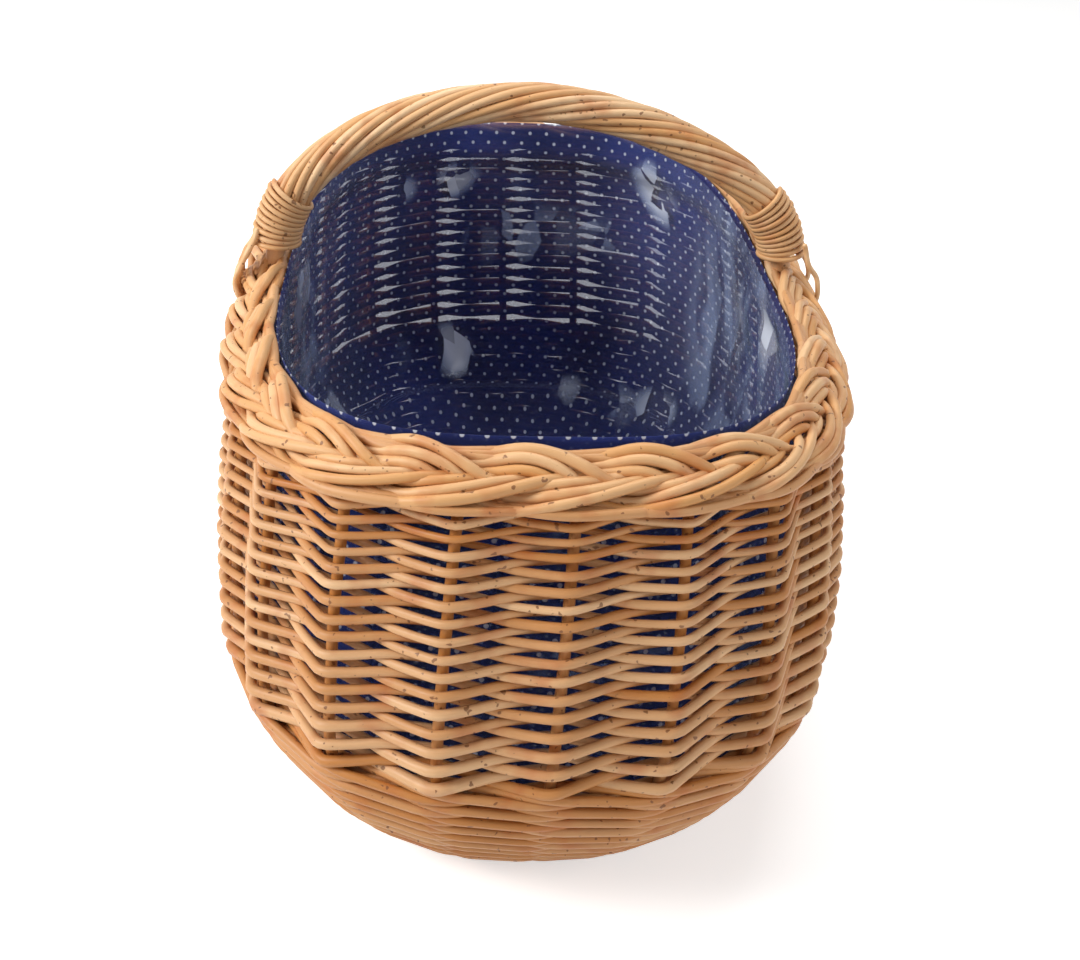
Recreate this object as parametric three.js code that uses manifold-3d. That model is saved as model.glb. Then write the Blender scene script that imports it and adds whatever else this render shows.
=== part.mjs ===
// A willow shopping basket: rounded oblong plan, open woven side, plaited border,
// fixed roped bow handle, blue spotted cotton liner and a clear film liner inside it.
// Millimetres, +Z up. The origin is on the floor under the middle of the basket,
// X runs across it in the plane of the handle and Y along its length.
import * as THREE from "three";
import * as BufferGeometryUtils from "three/addons/utils/BufferGeometryUtils.js";
import Module from "manifold-3d";

const wasm = await Module();
wasm.setup();

// Overall shape
const rimWidth = 280;
const rimLength = 456;
const planPower = 2.9; // 2 is an ellipse, more is squarer
const wallTop = 201; // underside of the border
const bendInset = 62; // how far the side curves in under itself
const bendHeight = 92;
const bendPower = 1.5; // 2 is round, less is slacker
const wallBulge = 9;
const endRise = 8; // how much higher the border is at both ends than at the handle
const clearance = 0.35;

// Side stakes and the rods woven round them
const stakeCount = 28;
const stakeInset = 10.5; // stake line from the outside of the border, at the top
const stakeDiameter = 5.4;
const stakeLean = 0.2; // sideways lean over the height, in stake spacings
const stakeShift = 0.22; // how far the stakes at both ends stand round from an even division, in stake spacings
const weaveStart = 82;
const weaverDepth = 4.4;
const crossingGap = 0.56; // between a rod of the side and the stake it crosses
const weaveTurns = 14;
const weavePitchRatio = 0.68; // rows at the top against rows at the bottom
const topRodDiameter = 4.6; // two rods round the stakes between the weave and the border
const weaverGap = 0.4;
const bandCount = 4;
const weaverEndGap = 0.03; // from a stake to a rod's end beside it, in stake spacings
const stakePoints = 6;
const rodSides = 6;

// Waled bottom edge
const waleThickness = 10;
const waleBands = 3;
const waleRodsPerBand = 2;
const waleOutside = 7.6; // from the stake line to the rods' outer faces
const waleGroove = 4;
const waleCrown = 0.3; // share of a rod's height where it reaches its full thickness
const footWidth = 13; // flat that the basket stands on

// Plaited border
const plaitStrands = 3; // in each round, and each joins the next at its end
const plaitSwing = 9.4;
const plaitDepth = 5;
const plaitTilt = 38; // degrees that the face leans outwards from level
const strandWidth = 7.5;
const strandThickness = 4.3;
const strandShoulder = 0.55; // share of half its width where a strand has its full thickness
const strandStepsPerPeriod = 7;
const strandEndGap = 0.4; // between a strand's end and the next one's start

// Bow handle
const bowSpread = 240; // between the middles of its two legs
const bowRise = 70; // top of the border to the middle of the bow at its crown
const bowPower = 1.87;
const bowCoreDiameter = 10;
const bowTipHeight = 128; // where its pointed ends stop in the side
const bowSteps = 18;
const bowSides = 8;
const ropingRodDiameter = 3.7;
const ropingRods = 12;
const ropingGroups = 4;
const ropingTurns = 1.7;
const ropingEnd = 4; // clear of the border at each end
const ropingValley = 0.12; // from its rods' middles out to the grooves between them, in rod diameters
const ropingInside = 0.36; // from its rods' middles in to its inner face, in rod diameters
const ropingSteps = 18;
const lappingRodDiameter = 2.4;
const lappingGap = 1.3;
const leftLappingTurns = 8;
const rightLappingTurns = 10;
const lappingFromBorder = 14;
const lappingSteps = 9;

// Base of sticks and a rod woven through them
const baseStickDiameter = 6;
const baseStickCount = 5;
const baseStickSpacing = 16;
const stickSides = 8;
const baseWeaverDepth = 4;
const baseWeaverWidth = 8;
const baseWeaverPitch = 12.5;
const baseCrossingGap = 1.1; // between the weaver's faceted line and the sticks
const baseUnderside = 0.8;
const baseEdgeGap = 1.6; // from the round of the wale to the base, whose edge is faceted

// Liners
const fabricThickness = 1.2;
const filmThickness = 0.8;
const linerGap = 0.4;
const linerTopDrop = 1.5; // top edge below the border

const rodMaterial = { color: 0xd9aa73, roughness: 0.55, metalness: 0 };
const paleRodMaterial = { color: 0xe3bd88, roughness: 0.5, metalness: 0 };
const fabricMaterial = { color: 0x222a63, roughness: 0.9, metalness: 0 };
const filmMaterial = { color: 0xdfe8ff, roughness: 0.1, metalness: 0, transparent: true, opacity: 0.25 };

const basket = new THREE.Group();
basket.name = "wicker_shopping_basket";

// Every height grows towards the ends, so that the border rises there and the foot stays level
function raiseEnds(geometry) {
  const position = geometry.attributes.position;
  for (let i = 0; i < position.count; i += 1) {
    const towardsEnd = position.getY(i) / (rimLength / 2);
    position.setZ(i, position.getZ(i) * (1 + (endRise / wallTop) * towardsEnd * towardsEnd));
  }
  geometry.computeVertexNormals();
}

function addPiece(name, geometry, look) {
  raiseEnds(geometry);
  const mesh = new THREE.Mesh(geometry, new THREE.MeshStandardMaterial(look));
  mesh.name = name;
  basket.add(mesh);
}

// Six times the volume inside a closed mesh, negative when its faces point in
function signedVolume(positions, index) {
  const corner = (i) => new THREE.Vector3(...positions.slice(3 * i, 3 * i + 3));
  let total = 0;
  for (let i = 0; i < index.length; i += 3) {
    total += corner(index[i]).dot(corner(index[i + 1]).cross(corner(index[i + 2])));
  }
  return total;
}

// Skin over a row of outlines with as many points each; the row closes on itself or gets flat ends
function skin(outlines, closesOnItself = false) {
  const sides = outlines[0].length;
  const positions = outlines.flat().flatMap((p) => [p.x, p.y, p.z]);
  const index = [];
  const spans = closesOnItself ? outlines.length : outlines.length - 1;
  for (let i = 0; i < spans; i += 1) {
    const here = i * sides;
    const next = ((i + 1) % outlines.length) * sides;
    for (let s = 0; s < sides; s += 1) {
      const t = (s + 1) % sides;
      index.push(here + s, here + t, next + t, here + s, next + t, next + s);
    }
  }
  if (!closesOnItself) {
    const last = (outlines.length - 1) * sides;
    for (let s = 1; s < sides - 1; s += 1) {
      index.push(0, s + 1, s, last, last + s, last + s + 1);
    }
  }
  if (signedVolume(positions, index) < 0) {
    index.reverse();
  }
  const geometry = new THREE.BufferGeometry();
  geometry.setAttribute("position", new THREE.Float32BufferAttribute(positions, 3));
  geometry.setIndex(index);
  geometry.computeVertexNormals();
  return geometry;
}

// Plan outline: a superellipse, walked by share of the way round from +X towards +Y
const topHalfWidth = rimWidth / 2 - stakeInset;
const topHalfLength = rimLength / 2 - stakeInset;

function planDirection(angle) {
  const c = Math.cos(angle);
  const s = Math.sin(angle);
  const power = 2 / planPower;
  return [Math.sign(c) * Math.abs(c) ** power, Math.sign(s) * Math.abs(s) ** power];
}

const walkSteps = 1440;
const walked = [0];
for (let i = 1; i <= walkSteps; i += 1) {
  const [ax, ay] = planDirection((2 * Math.PI * (i - 1)) / walkSteps);
  const [bx, by] = planDirection((2 * Math.PI * i) / walkSteps);
  walked.push(walked[i - 1] + Math.hypot((bx - ax) * topHalfWidth, (by - ay) * topHalfLength));
}

function angleAtShare(share) {
  const target = (share - Math.floor(share)) * walked[walkSteps];
  let low = 0;
  let high = walkSteps;
  while (high - low > 1) {
    const middle = (low + high) >> 1;
    if (walked[middle] <= target) {
      low = middle;
    } else {
      high = middle;
    }
  }
  const part = (target - walked[low]) / (walked[high] - walked[low]);
  return (2 * Math.PI * (low + part)) / walkSteps;
}

// How far the stake line lies inside its place at the top, at a height
function insetAt(height) {
  const z = Math.min(Math.max(height, 0), wallTop);
  const t = Math.max(0, 1 - z / bendHeight);
  const curve = 1 - (1 - 0.999 * t ** bendPower) ** (1 / bendPower);
  return bendInset * curve - wallBulge * Math.sin((Math.PI * z) / wallTop);
}

// A point off the stake line: by outward square to the wall, and by along up the wall
function wallPoint(share, height, outward, along = 0) {
  const lean = (stakeLean / stakeCount) * (1 - Math.min(Math.max(height, 0), wallTop) / wallTop);
  const shift = (stakeShift / stakeCount) * Math.sin(2 * Math.PI * share) ** 2;
  const [cx, cy] = planDirection(angleAtShare(share - lean + shift));
  const inset = insetAt(height);
  const halfWidth = topHalfWidth - inset;
  const halfLength = topHalfLength - inset;
  const normal = new THREE.Vector3(
    (Math.sign(cx) * Math.abs(cx) ** (planPower - 1)) / halfWidth,
    (Math.sign(cy) * Math.abs(cy) ** (planPower - 1)) / halfLength,
    0,
  ).normalize();
  const flare = insetAt(height - 0.5) - insetAt(height + 0.5);
  const up = new THREE.Vector3(normal.x * flare, normal.y * flare, 1).normalize();
  const out = new THREE.Vector3(normal.x, normal.y, -flare).normalize();
  return new THREE.Vector3(cx * halfWidth, cy * halfLength, height)
    .addScaledVector(out, outward)
    .addScaledVector(up, along);
}

// Waled bands round the bottom edge, each of a few rods laid one on another
const waleTop = weaveStart - clearance;
const waleBandHeight = (waleTop - clearance * (waleBands - 1)) / waleBands;
const ringStations = stakeCount;

// Straight out from the stake line, level with the floor
function footPoint(share, outward) {
  const middle = wallPoint(share, 0, 0);
  const direction = wallPoint(share, 0, 1).sub(middle).setZ(0).normalize();
  return middle.addScaledVector(direction, outward);
}

function waleOutline(share, low, high) {
  const outline = [];
  const valley = waleOutside - waleGroove;
  const inside = -waleThickness / 2;
  const standsOnFloor = low === 0;
  for (let rod = 0; rod < waleRodsPerBand; rod += 1) {
    const from = low + ((high - low) * rod) / waleRodsPerBand;
    const to = low + ((high - low) * (rod + 1)) / waleRodsPerBand;
    if (standsOnFloor && rod === 0) {
      outline.push(footPoint(share, footWidth));
    } else {
      outline.push(wallPoint(share, from, valley));
      outline.push(wallPoint(share, from + (to - from) * waleCrown, waleOutside));
    }
    outline.push(wallPoint(share, from + (to - from) * (1 - waleCrown), waleOutside));
  }
  outline.push(wallPoint(share, high, valley));
  outline.push(wallPoint(share, high, inside));
  outline.push(wallPoint(share, (low + high) / 2, inside));
  outline.push(standsOnFloor ? footPoint(share, 0) : wallPoint(share, low, inside));
  return outline;
}

for (let band = 0; band < waleBands; band += 1) {
  const low = band * (waleBandHeight + clearance);
  const rings = [];
  for (let i = 0; i < ringStations; i += 1) {
    rings.push(waleOutline(i / ringStations, low, low + waleBandHeight));
  }
  addPiece("bottom_wale_" + (band + 1), skin(rings, true), rodMaterial);
}

// Plait of flat strands, one crossing for each stake: a strand swings from side to side of the
// plait's leaning face once a period, and goes in and out of it twice
const plaitPeriods = stakeCount / plaitStrands;
const tilt = THREE.MathUtils.degToRad(plaitTilt);
const plaitStart = 0.16; // share of a period at the handle
const periodLength = walked[walkSteps] / plaitPeriods;

// Corners of a strand's outline as shares of half its width and half its thickness
const strandCorners = [
  [1, 0],
  [strandShoulder, 1],
  [-strandShoulder, 1],
  [-1, 0],
  [-strandShoulder, -1],
  [strandShoulder, -1],
];

// A strand's corner, outwards and upwards from the middle of the plait
function strandCorner(turn, [aside, above]) {
  const slope = (2 * Math.PI * plaitSwing * Math.cos(turn)) / periodLength;
  const widen = Math.sqrt(1 + slope * slope);
  const across = plaitSwing * Math.sin(turn) + aside * (strandWidth / 2) * widen;
  const depth = -plaitDepth * Math.sin(2 * turn) + above * (strandThickness / 2);
  return {
    outward: -across * Math.cos(tilt) + depth * Math.sin(tilt),
    upward: across * Math.sin(tilt) + depth * Math.cos(tilt),
  };
}

const turnSamples = Array.from({ length: walkSteps }, (_, i) => (2 * Math.PI * i) / walkSteps);
const cornerSamples = turnSamples.flatMap((turn) => strandCorners.map((corner) => strandCorner(turn, corner)));
const plaitReach = Math.max(...cornerSamples.map((sample) => sample.outward));
const plaitHalfHeight = Math.max(...cornerSamples.map((sample) => Math.abs(sample.upward)));
const plaitMiddleOutward = stakeInset - plaitReach;
const plaitMiddleHeight = wallTop + plaitHalfHeight;
const borderTop = wallTop + 2 * plaitHalfHeight;

function strandTurn(strand, share) {
  return 2 * Math.PI * (share * plaitPeriods + plaitStart + strand / plaitStrands);
}

function strandPoint(strand, share, corner) {
  const offset = strandCorner(strandTurn(strand, share), corner);
  const point = wallPoint(share, wallTop, plaitMiddleOutward + offset.outward);
  point.z = plaitMiddleHeight + offset.upward;
  return point;
}

// Lowest underside of the plait over a stake's top
function plaitUnderside(share) {
  const aside = (stakeDiameter * 0.75) / walked[walkSteps];
  let lowest = plaitMiddleHeight;
  for (let strand = 0; strand < plaitStrands; strand += 1) {
    for (const step of [-1, -0.5, 0, 0.5, 1]) {
      const turn = strandTurn(strand, share + step * aside);
      for (let along = -1; along <= 1; along += 0.125) {
        const below = -Math.min(1, (1 - Math.abs(along)) / (1 - strandShoulder));
        const offset = strandCorner(turn, [along, below]);
        if (Math.abs(plaitMiddleOutward + offset.outward) < stakeDiameter / 2 + clearance) {
          lowest = Math.min(lowest, plaitMiddleHeight + offset.upward);
        }
      }
    }
  }
  return lowest - clearance;
}

function strandSkin(strand) {
  const steps = Math.round(plaitPeriods * strandStepsPerPeriod);
  const endGap = strandEndGap / walked[walkSteps];
  const rings = [];
  for (let i = 0; i <= steps; i += 1) {
    const share = THREE.MathUtils.lerp(endGap, 1 - endGap, i / steps);
    rings.push(strandCorners.map((corner) => strandPoint(strand, share, corner)));
  }
  return skin(rings);
}

// Bow handle: up out of the side, through the border and over in a flattened arch
const legHalfSpread = bowSpread / 2;

function archPoint(part) {
  const angle = Math.PI * (1 - part);
  const c = Math.cos(angle);
  const s = Math.sin(angle);
  const power = 2 / bowPower;
  return new THREE.Vector3(
    legHalfSpread * Math.sign(c) * Math.abs(c) ** power,
    0,
    borderTop + bowRise * Math.abs(s) ** power,
  );
}

// The arch, walked by length from the left leg
const archSteps = 400;
const archLengths = [0];
for (let i = 1; i <= archSteps; i += 1) {
  archLengths.push(archLengths[i - 1] + archPoint(i / archSteps).distanceTo(archPoint((i - 1) / archSteps)));
}
const archLength = archLengths[archSteps];

function archFrame(length) {
  const target = Math.min(Math.max(length, 0), archLength);
  const i = Math.max(1, archLengths.findIndex((reached) => reached >= target));
  const part = (i - 1 + (target - archLengths[i - 1]) / (archLengths[i] - archLengths[i - 1])) / archSteps;
  const step = 0.002;
  const forward = archPoint(Math.min(part + step, 1)).sub(archPoint(Math.max(part - step, 0))).normalize();
  const across = new THREE.Vector3(0, 1, 0);
  const outward = new THREE.Vector3().crossVectors(forward, across);
  return { middle: archPoint(part), across, outward };
}

function bowPoint(length, angle, radius) {
  const frame = archFrame(length);
  return frame.middle
    .addScaledVector(frame.outward, radius * Math.cos(angle))
    .addScaledVector(frame.across, radius * Math.sin(angle));
}

// Height at a share of the way up through the border
function borderHeight(part) {
  return THREE.MathUtils.lerp(wallTop, borderTop, part);
}

// The leg's middle from its tip in the side up to the top of the border
function legMiddle(side, height) {
  const share = side < 0 ? 0.5 : 0;
  const blend = THREE.MathUtils.smoothstep(height, wallTop, borderTop);
  const inSide = wallPoint(share, Math.min(height, wallTop), 0);
  const x = side * THREE.MathUtils.lerp(Math.abs(inSide.x), legHalfSpread, blend);
  return new THREE.Vector3(x, THREE.MathUtils.lerp(inSide.y, 0, blend), height);
}

function legRadius(height) {
  const blend = THREE.MathUtils.smoothstep(height, borderHeight(0.9), borderHeight(1.2));
  return THREE.MathUtils.lerp(stakeDiameter / 2, bowCoreDiameter / 2, blend);
}

function legOutline(side, height, extra = 0) {
  const outline = [];
  const middle = legMiddle(side, height);
  for (let s = 0; s < bowSides; s += 1) {
    const angle = (2 * Math.PI * (s + 0.5)) / bowSides;
    const radius = legRadius(height) + extra;
    outline.push(
      new THREE.Vector3(middle.x + side * radius * Math.cos(angle), middle.y + radius * Math.sin(angle), height),
    );
  }
  return outline;
}

const legHeights = [0, 1 / 3, 2 / 3, 1].map((part) => THREE.MathUtils.lerp(bowTipHeight, wallTop, part));
legHeights.push(borderHeight(0.2), borderHeight(0.75), borderHeight(0.93));

function bowSkin() {
  const rings = legHeights.map((height) => legOutline(1, height));
  for (let i = bowSteps - 1; i > 0; i -= 1) {
    const ring = [];
    for (let s = 0; s < bowSides; s += 1) {
      ring.push(bowPoint((archLength * i) / bowSteps, (2 * Math.PI * (s + 0.5)) / bowSides, bowCoreDiameter / 2));
    }
    rings.push(ring);
  }
  const downwards = [...legHeights].reverse();
  return skin([...rings, ...downwards.map((height) => legOutline(-1, height))]);
}

// Solids for cutting: merged positions only
function solidOf(geometry) {
  const bare = geometry.clone();
  bare.deleteAttribute("normal");
  const merged = BufferGeometryUtils.mergeVertices(bare, 1e-5);
  return new wasm.Manifold(
    new wasm.Mesh({
      numProp: 3,
      vertProperties: new Float32Array(merged.attributes.position.array),
      triVerts: new Uint32Array(merged.index.array),
    }),
  );
}

function geometryOf(solid) {
  const mesh = solid.getMesh();
  const geometry = new THREE.BufferGeometry();
  geometry.setAttribute("position", new THREE.BufferAttribute(mesh.vertProperties, 3));
  geometry.setIndex(new THREE.BufferAttribute(mesh.triVerts, 1));
  geometry.computeVertexNormals();
  return geometry;
}

const legBores = [-1, 1].map((side) => {
  const heights = [wallTop - clearance, borderHeight(0.2), borderHeight(0.75), borderTop + clearance];
  const rings = heights.map((height) => legOutline(side, height, clearance));
  return solidOf(skin(side < 0 ? rings.reverse() : rings));
});

for (let strand = 0; strand < plaitStrands; strand += 1) {
  const solid = legBores.reduce((left, bore) => left.subtract(bore), solidOf(strandSkin(strand)));
  addPiece("border_plait_" + (strand + 1), geometryOf(solid), paleRodMaterial);
}

addPiece("handle_bow", bowSkin(), rodMaterial);

// Stakes stand on the wale and reach the plait; the two under the bow's pointed ends stop below them
for (let stake = 0; stake < stakeCount; stake += 1) {
  const share = stake / stakeCount;
  const underBow = stake === 0 || stake === stakeCount / 2;
  const bottom = weaveStart;
  const top = underBow ? bowTipHeight - clearance : plaitUnderside(share);
  const heights = [bottom];
  for (let i = 0; i < stakePoints - 1; i += 1) {
    heights.push(THREE.MathUtils.lerp(bendHeight, top, i / (stakePoints - 2)));
  }
  const rings = heights.map((height) => {
    const ring = [];
    const middle = wallPoint(share, height, 0);
    const outward = wallPoint(share, height, 1).sub(middle);
    if (height !== bottom) {
      outward.setZ(0).normalize(); // only the foot lies square on the wale
    }
    for (let s = 0; s < rodSides; s += 1) {
      const angle = (2 * Math.PI * s) / rodSides;
      const aside = new THREE.Vector3(-outward.y, outward.x, 0);
      ring.push(
        middle
          .clone()
          .addScaledVector(outward, (stakeDiameter / 2) * Math.cos(angle))
          .addScaledVector(aside, (stakeDiameter / 2) * Math.sin(angle)),
      );
    }
    return ring;
  });
  addPiece("side_stake_" + String(stake + 1).padStart(2, "0"), skin(rings), rodMaterial);
}

// Two rods chase each other up the side, one half a pitch over the other:
// each goes in front of every second stake and behind the ones between
const weaverSwing = stakeDiameter / 2 + weaverDepth / 2 + crossingGap;
const topRodHeight = wallTop - topRodDiameter / 2 - clearance;
const weaveEnd = topRodHeight - topRodDiameter / 2;
const lastTurn = weaveTurns + 0.5;
const pitchChange = (weavePitchRatio - 1) / weaveTurns;
const pitchesHigh = 0.25 + lastTurn + (pitchChange * lastTurn * lastTurn) / 2 + weavePitchRatio / 4;
const firstPitch = (weaveEnd - weaveStart - 2 * weaverGap) / pitchesHigh;

function rowPitch(turn) {
  return firstPitch * (1 + pitchChange * turn);
}

function rowHeight(turn) {
  return weaveStart + weaverGap + firstPitch * (0.25 + turn + (pitchChange * turn * turn) / 2);
}

function weaverSkin(which, fromStake, toStake) {
  const rings = [];
  const places = [fromStake + weaverEndGap];
  for (let place = Math.floor(fromStake) + 1; place < toStake; place += 1) {
    places.push(place);
  }
  places.push(toStake - weaverEndGap);
  places.forEach((place) => {
    const turn = place / stakeCount + which / 2;
    const side = Math.cos(Math.PI * place) * (which === 0 ? 1 : -1);
    const height = rowHeight(turn);
    const halfHeight = rowPitch(turn) / 4 - weaverGap / 2;
    const share = place / stakeCount;
    const out = side * weaverSwing;
    rings.push([
      wallPoint(share, height, out + weaverDepth / 2),
      wallPoint(share, height, out, halfHeight),
      wallPoint(share, height, out - weaverDepth / 2),
      wallPoint(share, height, out, -halfHeight),
    ]);
  });
  return skin(rings);
}

for (let which = 0; which < 2; which += 1) {
  for (let band = 0; band < bandCount; band += 1) {
    const from = Math.round((weaveTurns * stakeCount * band) / bandCount);
    const to = Math.round((weaveTurns * stakeCount * (band + 1)) / bandCount);
    const name = "side_weaver_" + "ab"[which] + "_" + (band + 1);
    addPiece(name, weaverSkin(which, from, to), rodMaterial);
  }
}

// A rod outside the stakes and one inside, laid under the border
function topRodSkin(side) {
  const offset = side * (stakeDiameter / 2 + topRodDiameter / 2 + crossingGap);
  const rings = [];
  for (let i = 0; i < ringStations; i += 1) {
    const ring = [];
    for (let s = 0; s < rodSides; s += 1) {
      const angle = (2 * Math.PI * s) / rodSides;
      const radius = topRodDiameter / 2;
      const point = wallPoint(i / ringStations, topRodHeight, offset + radius * Math.cos(angle));
      point.z = topRodHeight + radius * Math.sin(angle);
      ring.push(point);
    }
    rings.push(ring);
  }
  return skin(rings, true);
}

addPiece("top_wale_outer", topRodSkin(1), rodMaterial);
addPiece("top_wale_inner", topRodSkin(-1), rodMaterial);

// Roping: groups of rods laid side by side, wound together round the bow
const ropingMiddle = bowCoreDiameter / 2 + clearance + ropingRodDiameter / 2;
const ropingOuter = ropingMiddle + ropingRodDiameter / 2;

function ropingOutline(group, part) {
  const length = THREE.MathUtils.lerp(ropingEnd, archLength - ropingEnd, part);
  const groupAngle = (2 * Math.PI) / ropingGroups;
  const rodsInGroup = ropingRods / ropingGroups;
  const twist = 2 * Math.PI * ropingTurns * part + group * groupAngle;
  const gapAngle = clearance / ropingMiddle;
  const valley = ropingMiddle + ropingRodDiameter * ropingValley;
  const inner = ropingMiddle - ropingRodDiameter * ropingInside;
  const points = [
    [gapAngle, inner],
    [gapAngle, valley],
  ];
  for (let rod = 0; rod < rodsInGroup; rod += 1) {
    points.push([(groupAngle * (rod + 0.5)) / rodsInGroup, ropingOuter]);
    if (rod < rodsInGroup - 1) {
      points.push([(groupAngle * (rod + 1)) / rodsInGroup, valley]);
    }
  }
  points.push([groupAngle - gapAngle, valley]);
  points.push([groupAngle - gapAngle, inner]);
  points.push([groupAngle / 2, inner]);
  return points.map(([angle, radius]) => bowPoint(length, twist + angle, radius));
}

for (let group = 0; group < ropingGroups; group += 1) {
  const rings = [];
  for (let i = 0; i <= ropingSteps; i += 1) {
    rings.push(ropingOutline(group, i / ropingSteps));
  }
  addPiece("handle_roping_" + (group + 1), skin(rings), paleRodMaterial);
}

// Lapping: one thin rod wound round each end of the roping
const lappingPitch = lappingRodDiameter + lappingGap;
const lappingRadius = (ropingOuter + clearance) / Math.cos(Math.PI / lappingSteps) + lappingRodDiameter / 2;

function lappingMiddle(fromLength, turns, part) {
  return bowPoint(fromLength + lappingPitch * turns * part, 2 * Math.PI * turns * part, lappingRadius);
}

function lappingSkin(fromLength, turns) {
  const rings = [];
  const steps = turns * lappingSteps;
  for (let i = 0; i <= steps; i += 1) {
    const length = fromLength + (lappingPitch * i) / lappingSteps;
    const angle = (2 * Math.PI * i) / lappingSteps;
    const radius = lappingRodDiameter / 2;
    rings.push([
      bowPoint(length, angle, lappingRadius + radius),
      bowPoint(length + radius, angle, lappingRadius),
      bowPoint(length, angle, lappingRadius - radius),
      bowPoint(length - radius, angle, lappingRadius),
    ]);
  }
  return skin(rings);
}

// Least gap between turns of a winding, measured on its middle line
function leastTurnGap(fromLength, turns) {
  const samples = [];
  const samplesPerTurn = 24;
  for (let i = 0; i <= turns * samplesPerTurn; i += 1) {
    samples.push(lappingMiddle(fromLength, turns, i / (turns * samplesPerTurn)));
  }
  let least = Infinity;
  samples.forEach((p, i) => {
    for (let j = i + samplesPerTurn / 2; j < samples.length; j += 1) {
      least = Math.min(least, p.distanceTo(samples[j]));
    }
  });
  return least - lappingRodDiameter;
}

const leftLappingStart = lappingFromBorder;
const rightLappingStart = archLength - lappingFromBorder - lappingPitch * rightLappingTurns;
addPiece("left_lapping", lappingSkin(leftLappingStart, leftLappingTurns), paleRodMaterial);
addPiece("right_lapping", lappingSkin(rightLappingStart, rightLappingTurns), paleRodMaterial);
console.log("least gap in the left lapping", leastTurnGap(leftLappingStart, leftLappingTurns).toFixed(2));
console.log("least gap in the right lapping", leastTurnGap(rightLappingStart, rightLappingTurns).toFixed(2));

// Base: long sticks and one rod that weaves to and fro across them
const baseStickHeight = baseUnderside + baseWeaverDepth + baseCrossingGap + baseStickDiameter / 2;
const baseHalfWidth = topHalfWidth - insetAt(0) - baseEdgeGap;
const baseHalfLength = topHalfLength - insetAt(0) - baseEdgeGap;

// Half the length of the base at a place across it, and half its width at a place along it
function baseReach(x, margin) {
  const share = Math.min(1, Math.abs(x) / (baseHalfWidth - margin));
  return (baseHalfLength - margin) * (1 - share ** planPower) ** (1 / planPower);
}

function baseWidthAt(y, margin) {
  const share = Math.min(1, Math.abs(y) / (baseHalfLength - margin));
  return (baseHalfWidth - margin) * (1 - share ** planPower) ** (1 / planPower);
}

const outermostStick = (baseStickSpacing * (baseStickCount - 1)) / 2;
for (let stick = 0; stick < baseStickCount; stick += 1) {
  const x = -outermostStick + stick * baseStickSpacing;
  const reach = baseReach(Math.abs(x) + baseStickDiameter / 2, 0);
  const rings = [-reach, reach].map((y) => {
    const ring = [];
    for (let s = 0; s < stickSides; s += 1) {
      const angle = (2 * Math.PI * s) / stickSides;
      const radius = baseStickDiameter / 2;
      ring.push(new THREE.Vector3(x + radius * Math.cos(angle), y, baseStickHeight + radius * Math.sin(angle)));
    }
    return ring;
  });
  addPiece("base_stick_" + (stick + 1), skin(rings), rodMaterial);
}

// Middle line of the base weaver: over and under the sticks, turning at the sides
function baseWeaverPath() {
  const swing = baseStickDiameter / 2 + baseWeaverDepth / 2 + baseCrossingGap;
  const nearestTurn = outermostStick + baseStickDiameter / 2 + baseWeaverWidth;
  const rows = 2 * Math.floor(baseReach(nearestTurn, baseWeaverWidth / 2) / baseWeaverPitch) + 1;
  const path = [];
  for (let row = 0; row < rows; row += 1) {
    const y = (row - (rows - 1) / 2) * baseWeaverPitch;
    const heading = row % 2 === 0 ? 1 : -1;
    for (let crossing = 0; crossing < baseStickCount; crossing += 1) {
      const x = heading * (-outermostStick + crossing * baseStickSpacing);
      const over = (crossing + row) % 2 === 0 ? 1 : -1;
      path.push(new THREE.Vector3(x, y, baseStickHeight + over * swing));
    }
    if (row < rows - 1) {
      const outerRow = Math.max(Math.abs(y), Math.abs(y + baseWeaverPitch));
      const turnX = heading * baseWidthAt(outerRow, baseWeaverWidth / 2);
      path.push(new THREE.Vector3(turnX, y, baseStickHeight));
      path.push(new THREE.Vector3(turnX, y + baseWeaverPitch, baseStickHeight));
    }
  }
  return path;
}

function baseWeaverSkin() {
  const path = baseWeaverPath();
  const rings = path.map((point, i) => {
    const before = path[Math.max(i - 1, 0)];
    const after = path[Math.min(i + 1, path.length - 1)];
    const forward = after.clone().sub(before).setZ(0).normalize();
    const aside = new THREE.Vector3(-forward.y, forward.x, 0);
    const isTurn = before.y !== after.y;
    const stretch = isTurn ? Math.SQRT2 : 1;
    return [
      point.clone().addScaledVector(aside, (stretch * baseWeaverWidth) / 2),
      point.clone().setZ(point.z + baseWeaverDepth / 2),
      point.clone().addScaledVector(aside, (-stretch * baseWeaverWidth) / 2),
      point.clone().setZ(point.z - baseWeaverDepth / 2),
    ];
  });
  return skin(rings);
}

addPiece("base_weaver", baseWeaverSkin(), rodMaterial);

// Liners: open bags that follow the inside of the wall and lie on the base
const floorHeight = baseStickHeight + baseStickDiameter / 2 + baseWeaverDepth + 4 * clearance;
const linerOffset = -(weaverSwing + weaverDepth / 2 + 2.5 * clearance);
const linerTop = wallTop - linerTopDrop;
const linerLevels = [0, 0.04, 0.1, 0.2, 0.34, 0.52, 0.75, 1];

// Height on the stake line whose point, set in by the offset, lies at the floor
function heightOverFloor(offset, floor) {
  let low = 0;
  let high = bendHeight;
  while (high - low > 0.001) {
    const middle = (low + high) / 2;
    if (wallPoint(0, middle, offset).z < floor) {
      low = middle;
    } else {
      high = middle;
    }
  }
  return high;
}

function linerRings(offset, floor) {
  const start = heightOverFloor(offset, floor);
  return linerLevels.map((level) => {
    const ring = [];
    for (let i = 0; i < ringStations; i += 1) {
      ring.push(wallPoint(i / ringStations, start + (linerTop - start) * level, offset));
    }
    return ring;
  });
}

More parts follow.
